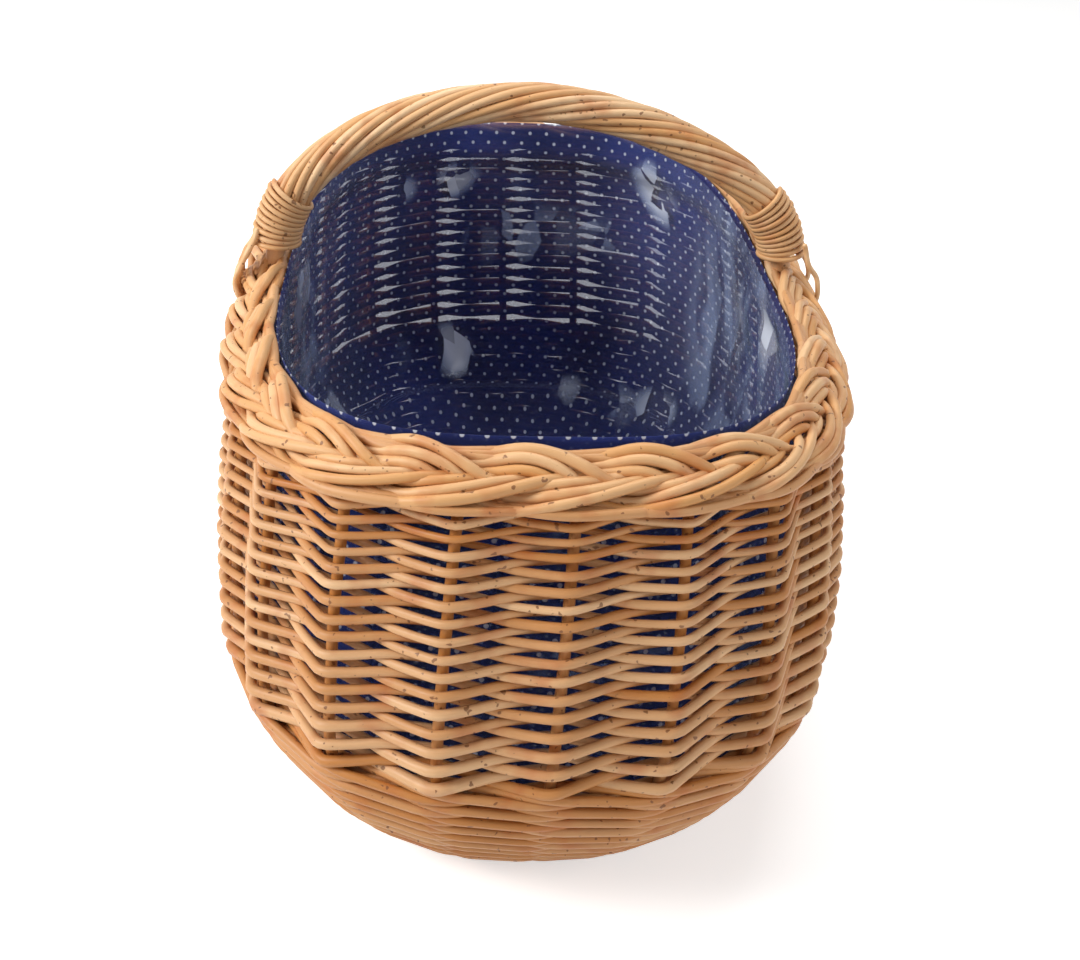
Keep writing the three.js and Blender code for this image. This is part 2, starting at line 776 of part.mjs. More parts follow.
function linerSkin(offset, thickness, floor) {
  const outside = linerRings(offset, floor);
  const inside = linerRings(offset - thickness, floor + thickness);
  return skin([...outside, ...inside.reverse()]);
}

addPiece("fabric_liner", linerSkin(linerOffset, fabricThickness, floorHeight), fabricMaterial);
const filmOffset = linerOffset - fabricThickness - linerGap;
const filmFloor = floorHeight + fabricThickness + linerGap;
addPiece("film_liner", linerSkin(filmOffset, filmThickness, filmFloor), filmMaterial);

export default basket;
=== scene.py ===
# Wicker shopping basket: the dressed model over the CAD frame, with camera, light and floor.
# Metres, +Z up, X across the basket in the plane of the handle, Y along it, origin on the floor.
import math
import bpy
import numpy as np
from mathutils import Matrix


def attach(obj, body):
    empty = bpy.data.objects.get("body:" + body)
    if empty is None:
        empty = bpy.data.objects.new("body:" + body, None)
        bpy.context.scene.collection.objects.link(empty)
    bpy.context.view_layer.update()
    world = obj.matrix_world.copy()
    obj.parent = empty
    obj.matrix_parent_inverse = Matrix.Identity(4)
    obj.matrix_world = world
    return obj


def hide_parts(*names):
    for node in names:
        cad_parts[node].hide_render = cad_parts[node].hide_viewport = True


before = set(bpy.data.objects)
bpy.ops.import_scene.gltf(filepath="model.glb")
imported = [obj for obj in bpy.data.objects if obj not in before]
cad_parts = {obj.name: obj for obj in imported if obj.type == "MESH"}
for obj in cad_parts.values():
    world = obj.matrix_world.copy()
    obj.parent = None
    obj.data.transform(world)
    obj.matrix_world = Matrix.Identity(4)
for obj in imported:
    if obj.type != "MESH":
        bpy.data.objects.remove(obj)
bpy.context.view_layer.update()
scene = bpy.context.scene
mm = 0.001
levelOnly = np.array([1.0, 1.0, 0.0])
upwards = np.array([0, 0, 1.0])

# Shape of the whole basket, the same sizes as the solids have
basket = {
    "rimWidth": 280 * mm,
    "rimLength": 456 * mm,
    "planPower": 2.9,
    "wallTop": 201 * mm,
    "bendInset": 62 * mm,
    "bendHeight": 92 * mm,
    "bendPower": 1.5,
    "wallBulge": 9 * mm,
    "endRise": 8 * mm,
    "stakeInset": 10.5 * mm,
    "stakeCount": 28,
    "stakeLean": 0.2,
    "stakeShift": 0.22,
    "weaveStart": 82 * mm,
    "borderTop": 223.9 * mm,
}
halfWidthTop = basket["rimWidth"] / 2 - basket["stakeInset"]
halfLengthTop = basket["rimLength"] / 2 - basket["stakeInset"]
stakeCount = basket["stakeCount"]


def turnedTo(right, up, back, place):
    matrix = np.eye(4)
    matrix[:3] = np.stack([right, up, back, place], 1)
    return Matrix(matrix.tolist())


def placeCamera():
    # place, yaw, pitch, roll and lens were found by fitting the border, side and handle to the photograph
    view = {
        "place": (-34.9 * mm, -690.9 * mm, 481.4 * mm), "yaw": 0.064, "pitch": 0.506, "roll": 0.046,
        "lens": 51.06, "sensor": 36, "nearest": 10 * mm,
    }
    yaw, pitch, roll = view["yaw"], view["pitch"], view["roll"]
    ahead = np.array([math.sin(yaw) * math.cos(pitch), math.cos(yaw) * math.cos(pitch), -math.sin(pitch)])
    right = np.array([math.cos(yaw), -math.sin(yaw), 0.0])
    up = np.cross(right, ahead)
    rolledRight = right * math.cos(roll) + up * math.sin(roll)
    rolledUp = up * math.cos(roll) - right * math.sin(roll)
    camera = bpy.data.objects.new("camera", bpy.data.cameras.new("camera"))
    camera.data.lens = view["lens"]
    camera.data.sensor_width = view["sensor"]
    camera.data.sensor_fit = "HORIZONTAL"
    camera.data.clip_start = view["nearest"]
    camera.matrix_world = turnedTo(rolledRight, rolledUp, -ahead, view["place"])
    scene.collection.objects.link(camera)
    scene.camera = camera


placeCamera()
print("camera placed")


# Arrays and meshes

def unit(v):
    return v / np.maximum(np.linalg.norm(v, axis=-1, keepdims=True), 1e-12)


def smoothStep(x, low, high):
    # 0 below low, 1 above high, and t^2 (3 - 2 t) between
    t = np.clip((x - low) / (high - low), 0, 1)
    return t * t * (3 - 2 * t)


def waves(x, count, seed, low, high):
    # count rows of slow waves over x that close after one turn: a sum of seeded sines of low to high turns,
    # divided by its usual height
    sines, usualHeight = 5, 2.2
    rng = np.random.default_rng(seed)
    turns = rng.integers(low, high + 1, (count, sines))
    starts = rng.uniform(0, 2 * np.pi, (count, sines))
    return np.sin(2 * np.pi * turns[:, :, None] * x[None, None, :] + starts[:, :, None]).sum(1) / usualHeight


def raised(points):
    # every height grows towards the ends: z (1 + rise / wall (y / half length)^2)
    towardsEnd = points[:, 1] / (basket["rimLength"] / 2)
    higher = points.copy()
    higher[:, 2] *= 1 + basket["endRise"] / basket["wallTop"] * towardsEnd ** 2
    return higher


def makeMesh(name, points, quads, triangles, uv, tone, material, nodes):
    mesh = bpy.data.meshes.new(name)
    points = raised(points)
    corners = np.concatenate([quads.ravel(), triangles.ravel()]).astype(np.int32)
    starts = np.concatenate([np.arange(len(quads)) * 4, len(quads) * 4 + np.arange(len(triangles)) * 3])
    mesh.vertices.add(len(points))
    mesh.vertices.foreach_set("co", points.astype(np.float32).ravel())
    mesh.loops.add(len(corners))
    mesh.loops.foreach_set("vertex_index", corners)
    mesh.polygons.add(len(starts))
    mesh.polygons.foreach_set("loop_start", starts.astype(np.int32))
    mesh.update(calc_edges=True)
    layer = mesh.uv_layers.new(name="along")
    layer.data.foreach_set("uv", uv.astype(np.float32)[corners].ravel())
    if tone is not None:
        shade = mesh.attributes.new("tone", "FLOAT", "POINT")
        shade.data.foreach_set("value", tone.astype(np.float32))
    mesh.polygons.foreach_set("use_smooth", np.ones(len(starts), bool))
    mesh.validate()
    mesh.materials.append(material)
    piece = bpy.data.objects.new(name, mesh)
    scene.collection.objects.link(piece)
    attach(piece, "root")
    if nodes:
        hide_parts(*nodes)
    return piece


rodLook = {"endTaper": 0.75, "endDome": 0.35, "toneDrift": 0.16, "cutTone": 0.7, "streakShift": 20}


def rodMesh(name, path, radius, facing, material, slot, nodes, seed, sides=8, closed=False, tones=(0.12, 0.88)):
    # round rods along path[rod, station]: each ring is path + radius (cos a * outward + sin a * sideways),
    # where outward is the facing direction made square to the path; tones are the darkest and lightest rod
    rods, stations = path.shape[:2]
    radius = np.broadcast_to(radius, (rods, stations)).copy()
    facing = np.broadcast_to(facing, path.shape)
    if closed:
        forward = unit(np.roll(path, -1, 1) - np.roll(path, 1, 1))
    else:
        forward = unit(np.gradient(path, axis=1))
        radius[:, [0, -1]] *= rodLook["endTaper"]
    sideways = unit(np.cross(forward, facing))
    outward = np.cross(sideways, forward)
    angles = np.pi + 2 * np.pi * np.arange(sides) / sides
    ring = np.cos(angles)[:, None] * outward[:, :, None] + np.sin(angles)[:, None] * sideways[:, :, None]
    points = (path[:, :, None, :] + radius[:, :, None, None] * ring).reshape(-1, 3)
    grid = np.arange(rods * stations * sides).reshape(rods, stations, sides)
    ahead = np.roll(grid, -1, 1) if closed else grid[:, 1:]
    here = grid if closed else grid[:, :-1]
    quads = np.stack([here, np.roll(here, -1, 2), np.roll(ahead, -1, 2), ahead], -1).reshape(-1, 4)
    steps = np.linalg.norm(np.diff(path, axis=1), axis=2)
    length = np.concatenate([np.zeros((rods, 1)), np.cumsum(steps, 1)], 1)
    rng = np.random.default_rng(seed)
    shift = rng.uniform(0, rodLook["streakShift"], (rods, 1))
    uv = np.stack([
        np.repeat((length + shift)[:, :, None], sides, 2),
        np.broadcast_to(np.arange(sides) / sides, (rods, stations, sides)),
    ], -1).reshape(-1, 2)
    along = np.linspace(0, 1, stations)
    tone = rng.uniform(*tones, (rods, 1)) + rodLook["toneDrift"] * waves(along, rods, seed + 7, 1, 5)
    tone = np.repeat(tone[:, :, None], sides, 2).ravel()
    triangles = np.zeros((0, 3), int)
    if not closed:  # a low dome over each end
        first = len(points) + np.arange(rods)
        last = first + rods
        middleStart = path[:, 0] - forward[:, 0] * radius[:, :1] * rodLook["endDome"]
        middleEnd = path[:, -1] + forward[:, -1] * radius[:, -1:] * rodLook["endDome"]
        points = np.concatenate([points, middleStart, middleEnd])
        endUv = np.stack([shift[:, 0], np.full(rods, 0.5)], 1)
        uv = np.concatenate([uv, endUv, endUv])
        tone = np.concatenate([tone, np.full(2 * rods, rodLook["cutTone"])])
        startRing, endRing = grid[:, 0], grid[:, -1]
        triangles = np.concatenate([
            np.stack([np.roll(startRing, -1, 1), startRing, np.repeat(first[:, None], sides, 1)], -1).reshape(-1, 3),
            np.stack([endRing, np.roll(endRing, -1, 1), np.repeat(last[:, None], sides, 1)], -1).reshape(-1, 3),
        ])
    return makeMesh(name, points, quads, triangles, uv, tone, material, nodes)


# The wall: plan outline walked by share of the way round, and a profile that curves in at the bottom

def planDirection(angle):
    # superellipse: sign cos |cos|^(2 / power), sign sin |sin|^(2 / power)
    c, s = np.cos(angle), np.sin(angle)
    power = 2 / basket["planPower"]
    return np.sign(c) * np.abs(c) ** power, np.sign(s) * np.abs(s) ** power


walkAngles = np.linspace(0, 2 * np.pi, 2881)  # every eighth of a degree
walkX, walkY = planDirection(walkAngles)
walkSteps = np.hypot(np.diff(walkX) * halfWidthTop, np.diff(walkY) * halfLengthTop)
walkShares = np.concatenate([[0], np.cumsum(walkSteps)]) / walkSteps.sum()
perimeter = walkSteps.sum()


def insetAt(height):
    # how far the wall lies inside its top line: bendInset (1 - (1 - t^p)^(1/p)) less a sine for the belly,
    # where t falls from nearly 1 at the floor to 0 at the end of the bend
    nearlyOne = 0.999
    z = np.clip(height, 0, basket["wallTop"])
    t = np.maximum(0, 1 - z / basket["bendHeight"])
    bulge = basket["wallBulge"] * np.sin(np.pi * z / basket["wallTop"])
    power = basket["bendPower"]
    return basket["bendInset"] * (1 - (1 - nearlyOne * t ** power) ** (1 / power)) - bulge


def wallFrame(share, height):
    # middle of the stake line, square outwards, and up the wall
    share, height = np.broadcast_arrays(share, height)
    level = np.clip(height, 0, basket["wallTop"]) / basket["wallTop"]
    lean = basket["stakeLean"] / stakeCount * (1 - level)
    shift = basket["stakeShift"] / stakeCount * np.sin(2 * np.pi * share) ** 2
    cx, cy = planDirection(np.interp((share - lean + shift) % 1, walkShares, walkAngles))
    inset = insetAt(height)
    halfWidth, halfLength = halfWidthTop - inset, halfLengthTop - inset
    power = basket["planPower"] - 1
    nx = np.sign(cx) * np.abs(cx) ** power / halfWidth
    ny = np.sign(cy) * np.abs(cy) ** power / halfLength
    size = np.hypot(nx, ny)
    nx, ny = nx / size, ny / size
    flare = (insetAt(height - 0.5 * mm) - insetAt(height + 0.5 * mm)) / mm
    middle = np.stack([cx * halfWidth, cy * halfLength, height], -1)
    out = unit(np.stack([nx, ny, -flare], -1))
    up = unit(np.stack([nx * flare, ny * flare, np.ones_like(nx)], -1))
    return middle, out, up


def wallPoint(share, height, outward=0.0):
    middle, out, _ = wallFrame(share, height)
    return middle + out * np.broadcast_to(outward, middle.shape[:-1])[..., None]


# length down the wall's profile against height, to space rows evenly round the bend
profileHeights = np.linspace(0, basket["wallTop"], 800)
profileSteps = np.hypot(np.diff(profileHeights), np.diff(insetAt(profileHeights)))
profileLengths = np.concatenate([[0], np.cumsum(profileSteps)])


# Materials

def newMaterial(name):
    material = bpy.data.materials.new(name)
    material.use_nodes = True
    nodes = material.node_tree.nodes
    nodes.clear()
    shader = nodes.new("ShaderNodeBsdfPrincipled")
    output = nodes.new("ShaderNodeOutputMaterial")
    material.node_tree.links.new(shader.outputs[0], output.inputs[0])
    return material, material.node_tree, shader, output


def plug(tree, made, inputs):
    # other sockets are linked to a node's inputs; numbers, vectors and colours are written in
    for key, value in inputs.items():
        socket = made.inputs[key]
        if hasattr(value, "is_output"):
            tree.links.new(value, socket)
        else:
            socket.default_value = (*value, 1) if socket.type == "RGBA" else value


def node(tree, kind, inputs=None, **settings):
    made = tree.nodes.new(kind)
    for key, value in settings.items():
        setattr(made, key, value)
    plug(tree, made, inputs or {})
    return made


def grey(level):
    return (level, level, level)


def ramp(tree, factor, stops):
    made = node(tree, "ShaderNodeValToRGB", {0: factor})
    while len(made.color_ramp.elements) < len(stops):
        made.color_ramp.elements.new(0.5)
    for element, (place, colour) in zip(made.color_ramp.elements, stops):
        element.position = place
        element.color = (*colour, 1)
    return made.outputs[0]


def mixColour(tree, factor, first, second):
    return node(tree, "ShaderNodeMix", {0: factor, 6: first, 7: second}, data_type="RGBA").outputs[2]


def math2(tree, operation, first, second=0.0, third=0.0, clamp=False):
    inputs = {0: first, 1: second, 2: third}
    return node(tree, "ShaderNodeMath", inputs, operation=operation, use_clamp=clamp).outputs[0]


def noiseTexture(tree, source, scale, detail, roughness=0.5):
    inputs = {"Vector": source, "Scale": scale, "Detail": detail, "Roughness": roughness}
    return node(tree, "ShaderNodeTexNoise", inputs)


def mapped(tree, source, scale, turned=(0, 0, 0)):
    return node(tree, "ShaderNodeMapping", {"Vector": source, "Rotation": turned, "Scale": scale}).outputs[0]


def smoothRange(tree, value, low, high, top=1.0):
    # 0 at low, top at high, eased at both ends
    inputs = {"Value": value, "From Min": low, "From Max": high, "To Max": top}
    return node(tree, "ShaderNodeMapRange", inputs, interpolation_type="SMOOTHSTEP").outputs[0]


def bumped(tree, height, strength, distance):
    return node(tree, "ShaderNodeBump", {"Height": height, "Strength": strength, "Distance": distance}).outputs[0]


def blendShaders(tree, share, first, second, output):
    blend = node(tree, "ShaderNodeMixShader", {0: share, 1: first.outputs[0], 2: second.outputs[0]})
    tree.links.new(blend.outputs[0], output.inputs[0])


def willowMaterial(name, light, deep, shadow):
    # peeled willow: rod-to-rod tone, fine lengthwise streaks, soft reddish patches, small dark specks
    willow = {
        "streaks": (45, 9, 1), "streakStrength": 0.55, "streakShade": 0.80,
        "patches": 55.0, "patchFrom": 0.52, "patchTo": 0.72, "patchStrength": 0.55,
        "specks": 330.0, "speckFrom": 0.695, "speckTo": 0.725, "speckStrength": 0.8, "speck": (0.16, 0.05, 0.012),
        "grain": (160, 30, 1), "grainDepth": 0.6 * mm, "grainStrength": 0.16,
        "noiseRoughness": 0.6, "roughness": 0.36, "grainRoughness": 0.25, "gloss": 0.42,
    }
    material, tree, shader, _ = newMaterial(name)
    tone = node(tree, "ShaderNodeAttribute", attribute_name="tone").outputs["Fac"]
    uv = node(tree, "ShaderNodeUVMap", uv_map="along").outputs[0]
    place = node(tree, "ShaderNodeTexCoord").outputs["Object"]

    def noise(source, scale, detail):
        return noiseTexture(tree, source, scale, detail, willow["noiseRoughness"]).outputs["Fac"]

    streaks = noise(mapped(tree, uv, willow["streaks"]), 1.0, 3.0)
    patches = noise(place, willow["patches"], 2.0)
    grain = noise(mapped(tree, uv, willow["grain"]), 1.0, 2.0)
    knots = noise(place, willow["specks"], 1.0)
    body = ramp(tree, tone, [(0.0, deep), (1.0, light)])
    streakShare = math2(tree, "MULTIPLY", streaks, willow["streakStrength"])
    streaked = mixColour(tree, streakShare, body, tuple(c * willow["streakShade"] for c in deep))
    patchStops = [(willow["patchFrom"], grey(0)), (willow["patchTo"], grey(willow["patchStrength"]))]
    patched = mixColour(tree, ramp(tree, patches, patchStops), streaked, shadow)
    specks = ramp(tree, knots, [(willow["speckFrom"], grey(0)), (willow["speckTo"], grey(1))])
    speckShare = math2(tree, "MULTIPLY", specks, willow["speckStrength"])
    plug(tree, shader, {
        "Base Color": mixColour(tree, speckShare, patched, willow["speck"]),
        "Roughness": math2(tree, "MULTIPLY_ADD", grain, willow["grainRoughness"], willow["roughness"]),
        "Specular IOR Level": willow["gloss"],
        "Normal": bumped(tree, grain, willow["grainStrength"], willow["grainDepth"]),
    })
    return material


buffWillow = willowMaterial("buff_willow", (0.86, 0.575, 0.325), (0.54, 0.22, 0.055), (0.44, 0.11, 0.022))
paleWillow = willowMaterial("pale_willow", (0.95, 0.71, 0.45), (0.66, 0.325, 0.11), (0.48, 0.14, 0.03))


def cottonMaterial():
    # navy cotton with white spots in a diamond grid, thin enough to let light through
    cloth = {
        "across": 9.8 * mm, "down": 11.2 * mm, "spotRadius": 0.95 * mm, "spotEdge": 0.25, "spot": (0.72, 0.76, 0.86),
        "navy": (0.012, 0.020, 0.120), "paleNavy": (0.027, 0.048, 0.270), "clouds": 14,
        "threads": 700, "threadDepth": 0.2 * mm, "threadStrength": 0.08,
        "roughness": 0.85, "gloss": 0.15, "sheen": 0.12, "seeThrough": 0.42, "throughTint": (0.96, 0.97, 1.0),
    }
    material, tree, shader, output = newMaterial("spotted_cotton")
    uv = node(tree, "ShaderNodeUVMap", uv_map="along").outputs[0]
    place = node(tree, "ShaderNodeTexCoord").outputs["Object"]
    split = node(tree, "ShaderNodeSeparateXYZ", {0: uv})

    def lattice(shift):
        # distance in metres from the nearest point of a grid shifted by half a step
        squares = []
        for axis, step in ((0, cloth["across"]), (1, cloth["down"])):
            scaled = math2(tree, "MULTIPLY_ADD", split.outputs[axis], 1 / step, shift)
            inside = math2(tree, "SUBTRACT", math2(tree, "FRACT", scaled), 0.5)
            apart = math2(tree, "MULTIPLY", inside, step)
            squares.append(math2(tree, "MULTIPLY", apart, apart))
        return math2(tree, "SQRT", math2(tree, "ADD", *squares))

    nearest = math2(tree, "MINIMUM", lattice(0.0), lattice(0.5))
    outside, inside = (cloth["spotRadius"] * (1 + side * cloth["spotEdge"]) for side in (1, -1))
    clouds = noiseTexture(tree, place, cloth["clouds"], 3).outputs["Fac"]
    ground = ramp(tree, clouds, [(0.3, cloth["navy"]), (0.7, cloth["paleNavy"])])
    threads = node(tree, "ShaderNodeTexWave", {"Vector": uv, "Scale": cloth["threads"]}, wave_type="BANDS")
    plug(tree, shader, {
        "Base Color": mixColour(tree, smoothRange(tree, nearest, outside, inside), ground, cloth["spot"]),
        "Roughness": cloth["roughness"],
        "Specular IOR Level": cloth["gloss"],
        "Sheen Weight": cloth["sheen"],
        "Normal": bumped(tree, threads.outputs["Fac"], cloth["threadStrength"], cloth["threadDepth"]),
    })
    through = node(tree, "ShaderNodeBsdfTransparent", {"Color": cloth["throughTint"]})
    blendShaders(tree, cloth["seeThrough"], shader, through, output)
    return material


def filmMaterial():
    # clear glossy film: nearly all see-through; painted highlights make it opaque and near-white in patches along its
    # sharper crumples
    film = {
        # hazy is the film's own bluish tint; the near-white after it is the colour of the painted highlights
        "roughness": 0.10, "gloss": 0.9, "hazy": (0.55, 0.69, 1.0), "paintedHighlight": (0.95, 0.97, 1.0),
        "warpScale": 16, "warp": 35 * mm, "bumpDepth": 3 * mm, "bumpStrength": 0.35,
        # facets, scattered patches and the upright streaks by the sides shape the painted highlights
        "facets": 120, "facetLean": math.radians(35), "facetStretch": (0.9, 0.7, 0.38),
        "facetStops": [(0.44, grey(0.03)), (0.50, grey(0.5)), (0.66, grey(0.2)), (0.74, grey(1))],
        "scattered": 11, "scatteredStops": [(0.60, grey(0)), (0.68, grey(1))], "scatteredStrength": 0.25,
        "hanging": 42, "hangingStretch": (1, 1, 0.16), "hangingStops": [(0.50, grey(0)), (0.62, grey(1))],
        "sideFrom": 100 * mm, "sideTo": 118 * mm, "sideStrength": 0.24,
        "edgeBlend": 0.16, "edgeHaze": 0.16, "leastHaze": 0.008, "highlightSpotCore": 0.4,
        # spots of painted highlight, where crumples catch the light: x, y, z and reach in mm, and strength
        "paintedHighlightSpots": [
            (-33, 208, 196, 20, 0.8), (90, 176, 196, 24, 0.75), (-39, 203, 72, 17, 0.8), (87, 158, 62, 20, 0.45),
            (-103, 136, 74, 20, 0.5), (119, -8, 185, 24, 0.7), (118, 70, 160, 26, 0.55), (40, 200, 48, 16, 0.4),
            (-117, 60, 175, 24, 0.55), (-70, 196, 190, 14, 0.4),
        ],
    }
    material, tree, shader, output = newMaterial("clear_film")
    place = node(tree, "ShaderNodeTexCoord").outputs["Object"]
    warp = noiseTexture(tree, place, film["warpScale"], 1)
    shifts = {0: warp.outputs["Color"], 1: grey(film["warp"]), 2: place}
    bent = node(tree, "ShaderNodeVectorMath", shifts, operation="MULTIPLY_ADD").outputs[0]
    # faceted shapes for the painted highlights
    leaning = mapped(tree, bent, film["facetStretch"], (0, film["facetLean"], 0))
    facets = node(tree, "ShaderNodeTexVoronoi", {"Vector": leaning, "Scale": film["facets"]})
    facet = node(tree, "ShaderNodeSeparateColor", {0: facets.outputs["Color"]})
    bright = ramp(tree, facet.outputs[0], film["facetStops"])

    # painted highlights: loose patches everywhere and stronger ones round the listed spots; the warp moves every point
    # by half its size on average, and so the spots too
    scattered = ramp(tree, noiseTexture(tree, place, film["scattered"], 1).outputs["Fac"], film["scatteredStops"])
    near = math2(tree, "MULTIPLY", scattered, film["scatteredStrength"])
    for x, y, z, reach, strength in film["paintedHighlightSpots"]:
        middle = [c * mm + film["warp"] / 2 for c in (x, y, z)]
        apart = node(tree, "ShaderNodeVectorMath", {0: bent, 1: middle}, operation="DISTANCE").outputs["Value"]
        fade = smoothRange(tree, apart, reach * mm, reach * mm * film["highlightSpotCore"], strength)
        near = math2(tree, "MAXIMUM", near, fade)

    # painted highlights: upright streaks where the film hangs beside the handle
    hanging = noiseTexture(tree, mapped(tree, bent, film["hangingStretch"]), film["hanging"], 2).outputs["Fac"]
    fromMiddle = math2(tree, "ABSOLUTE", node(tree, "ShaderNodeSeparateXYZ", {0: place}).outputs[0])
    side = smoothRange(tree, fromMiddle, film["sideFrom"], film["sideTo"], film["sideStrength"])
    streaks = math2(tree, "MULTIPLY", ramp(tree, hanging, film["hangingStops"]), side)
    # painted highlights: facets in the patches and round the spots, and the side streaks
    paintedHighlight = math2(tree, "MAXIMUM", math2(tree, "MULTIPLY", bright, near), streaks)
    edgeOn = node(tree, "ShaderNodeLayerWeight", {"Blend": film["edgeBlend"]}).outputs["Facing"]
    haze = math2(tree, "MULTIPLY_ADD", edgeOn, film["edgeHaze"], film["leastHaze"])
    # near-white round the painted highlight spots and patches, the film's bluish haze elsewhere
    plug(tree, shader, {
        "Base Color": mixColour(tree, near, film["hazy"], film["paintedHighlight"]),
        "Roughness": film["roughness"],
        "Specular IOR Level": film["gloss"],
        "Normal": bumped(tree, warp.outputs["Fac"], film["bumpStrength"], film["bumpDepth"]),
    })
    # the painted highlights and the edge haze make the film opaque; elsewhere it stays see-through
    seen = math2(tree, "ADD", paintedHighlight, haze, clamp=True)
    blendShaders(tree, seen, node(tree, "ShaderNodeBsdfTransparent"), shader, output)
    return material


spottedCotton = cottonMaterial()
clearFilm = filmMaterial()
print("materials made")


# Side stakes

def makeStakes():
    # rods that follow the wall from the waled edge up into the border, a little thinner at the top
    stakes = {
        "radius": 2.35 * mm, "bottom": 9 * mm, "top": 207 * mm, "thickBelow": 1.04, "taper": 0.1,
        "wobble": 0.35 * mm, "stations": 26, "tones": (0.0, 0.2),
    }
    shares = np.arange(stakeCount) / stakeCount
    heights = np.linspace(stakes["bottom"], stakes["top"], stakes["stations"])
    share, height = np.meshgrid(shares, heights, indexing="ij")
    wobble = stakes["wobble"] * waves(np.linspace(0, 1, stakes["stations"]), stakeCount, 5, 1, 4)
    path = wallPoint(share, height, wobble)
    _, out, _ = wallFrame(share, height)
    radius = stakes["radius"] * (stakes["thickBelow"] - stakes["taper"] * (height / stakes["top"]))
    nodes = ["side_stake_%02d" % (i + 1) for i in range(stakeCount)]
    rodMesh("side_stakes", path, radius, out, buffWillow, "buff_willow", nodes, seed=11, tones=stakes["tones"])


makeStakes()


# Side weave: pairs of rods twined round the stakes, so that every stake shows a rod in each row

def rowHeights():
    # row k has the pitch first (1 + change k), so its height is the start and first (below + k + change k^2 / 2)
    weave = {
        "end": 194.5 * mm, "rows": 15, "change": -0.32 / 14, "gap": 0.4 * mm, "below": 0.25, "above": 0.17,
    }
    last = weave["rows"] - 0.5
    pitches = weave["below"] + last + weave["change"] * last ** 2 / 2 + weave["above"]
    first = (weave["end"] - basket["weaveStart"] - 2 * weave["gap"]) / pitches
    row = np.arange(weave["rows"])
    rise = first * (weave["below"] + row + weave["change"] * row * row / 2)
    return basket["weaveStart"] + weave["gap"] + rise, first * (1 + weave["change"] * row)


def strung(heights, outward, stations, rounding):
    # rods held at the stakes and straight between them: stake points joined by lines, then averaged over a short run
    rods, stops = outward.shape
    share = np.broadcast_to(np.arange(stops) / stakeCount, outward.shape)
    held = wallPoint(share, np.broadcast_to(heights[:, None], outward.shape), outward)
    part = (np.arange(stations) / stations)[None, None, :, None]
    path = (held[:, :, None] * (1 - part) + np.roll(held, -1, 1)[:, :, None] * part).reshape(rods, -1, 3)
    return sum(np.roll(path, step, 1) for step in range(-rounding, rounding + 1)) / (2 * rounding + 1)


def twinedRows(name, heights, rodRadius, nodes, seed, midRise=0.0):
    # rod k of a row goes in front of the stakes of its own parity and behind the others; it goes up by
    # a triangle wave in t and midRise |sin t|, less drop cos t, where t = pi (u + k) and u counts stakes
    twine = {
        "swingMore": 3.7 * mm, "lift": 0.98, "sharpness": 0.98, "drop": 1.2 * mm, "thicker": 0.05, "uneven": 0.09,
        "unevenHeight": 0.3 * mm, "unevenOut": 0.25 * mm, "rounding": 1, "stations": 16,
    }
    rows = len(heights)
    count = rows * 2
    radius = np.repeat(rodRadius, 2)[:, None]
    heights = np.repeat(heights, 2)
    parity = np.tile([0, 1], rows)[:, None]
    side = 1.0 - 2.0 * ((np.arange(stakeCount)[None, :] + parity) % 2)
    path = strung(heights, side * (twine["swingMore"] + radius), twine["stations"], twine["rounding"])
    share = np.arange(stakeCount * twine["stations"]) / (stakeCount * twine["stations"])
    turn = np.pi * (share[None, :] * stakeCount + parity)
    _, out, up = wallFrame(np.broadcast_to(share, turn.shape), np.broadcast_to(heights[:, None], turn.shape))
    lift = twine["lift"] * radius * np.arcsin(twine["sharpness"] * np.sin(turn)) * 2 / np.pi
    lift = lift + twine["unevenHeight"] * waves(share, count, seed + 2, 3, 17)
    lift = lift + midRise * np.abs(np.sin(turn)) - twine["drop"] * np.cos(turn)
    outward = twine["unevenOut"] * waves(share, count, seed + 1, 3, 13)
    path = path + up * lift[..., None] + out * outward[..., None]
    thick = 1 + twine["uneven"] * waves(share, count, seed, 1, 6) + twine["thicker"] * np.cos(turn)
    rodMesh(name, path, radius * thick, out, buffWillow, "buff_willow", nodes, seed, sides=7, closed=True)


radiusPerPitch = 0.258
topRows = {"heights": np.array([195.3, 200.6]) * mm, "radii": np.array([1.65, 1.75]) * mm, "midRise": 0.8 * mm}
heights, pitches = rowHeights()
weavers = ["side_weaver_%s_%d" % (w, b) for w in "ab" for b in (1, 2, 3, 4)]
twinedRows("side_weave", heights, pitches * radiusPerPitch, weavers, 21)
topWales = ["top_wale_outer", "top_wale_inner"]
twinedRows("top_rows", topRows["heights"], topRows["radii"], topWales, 31, topRows["midRise"])
print("side woven")


# Waled bottom edge: three rods a row, each in front of two stakes and behind one

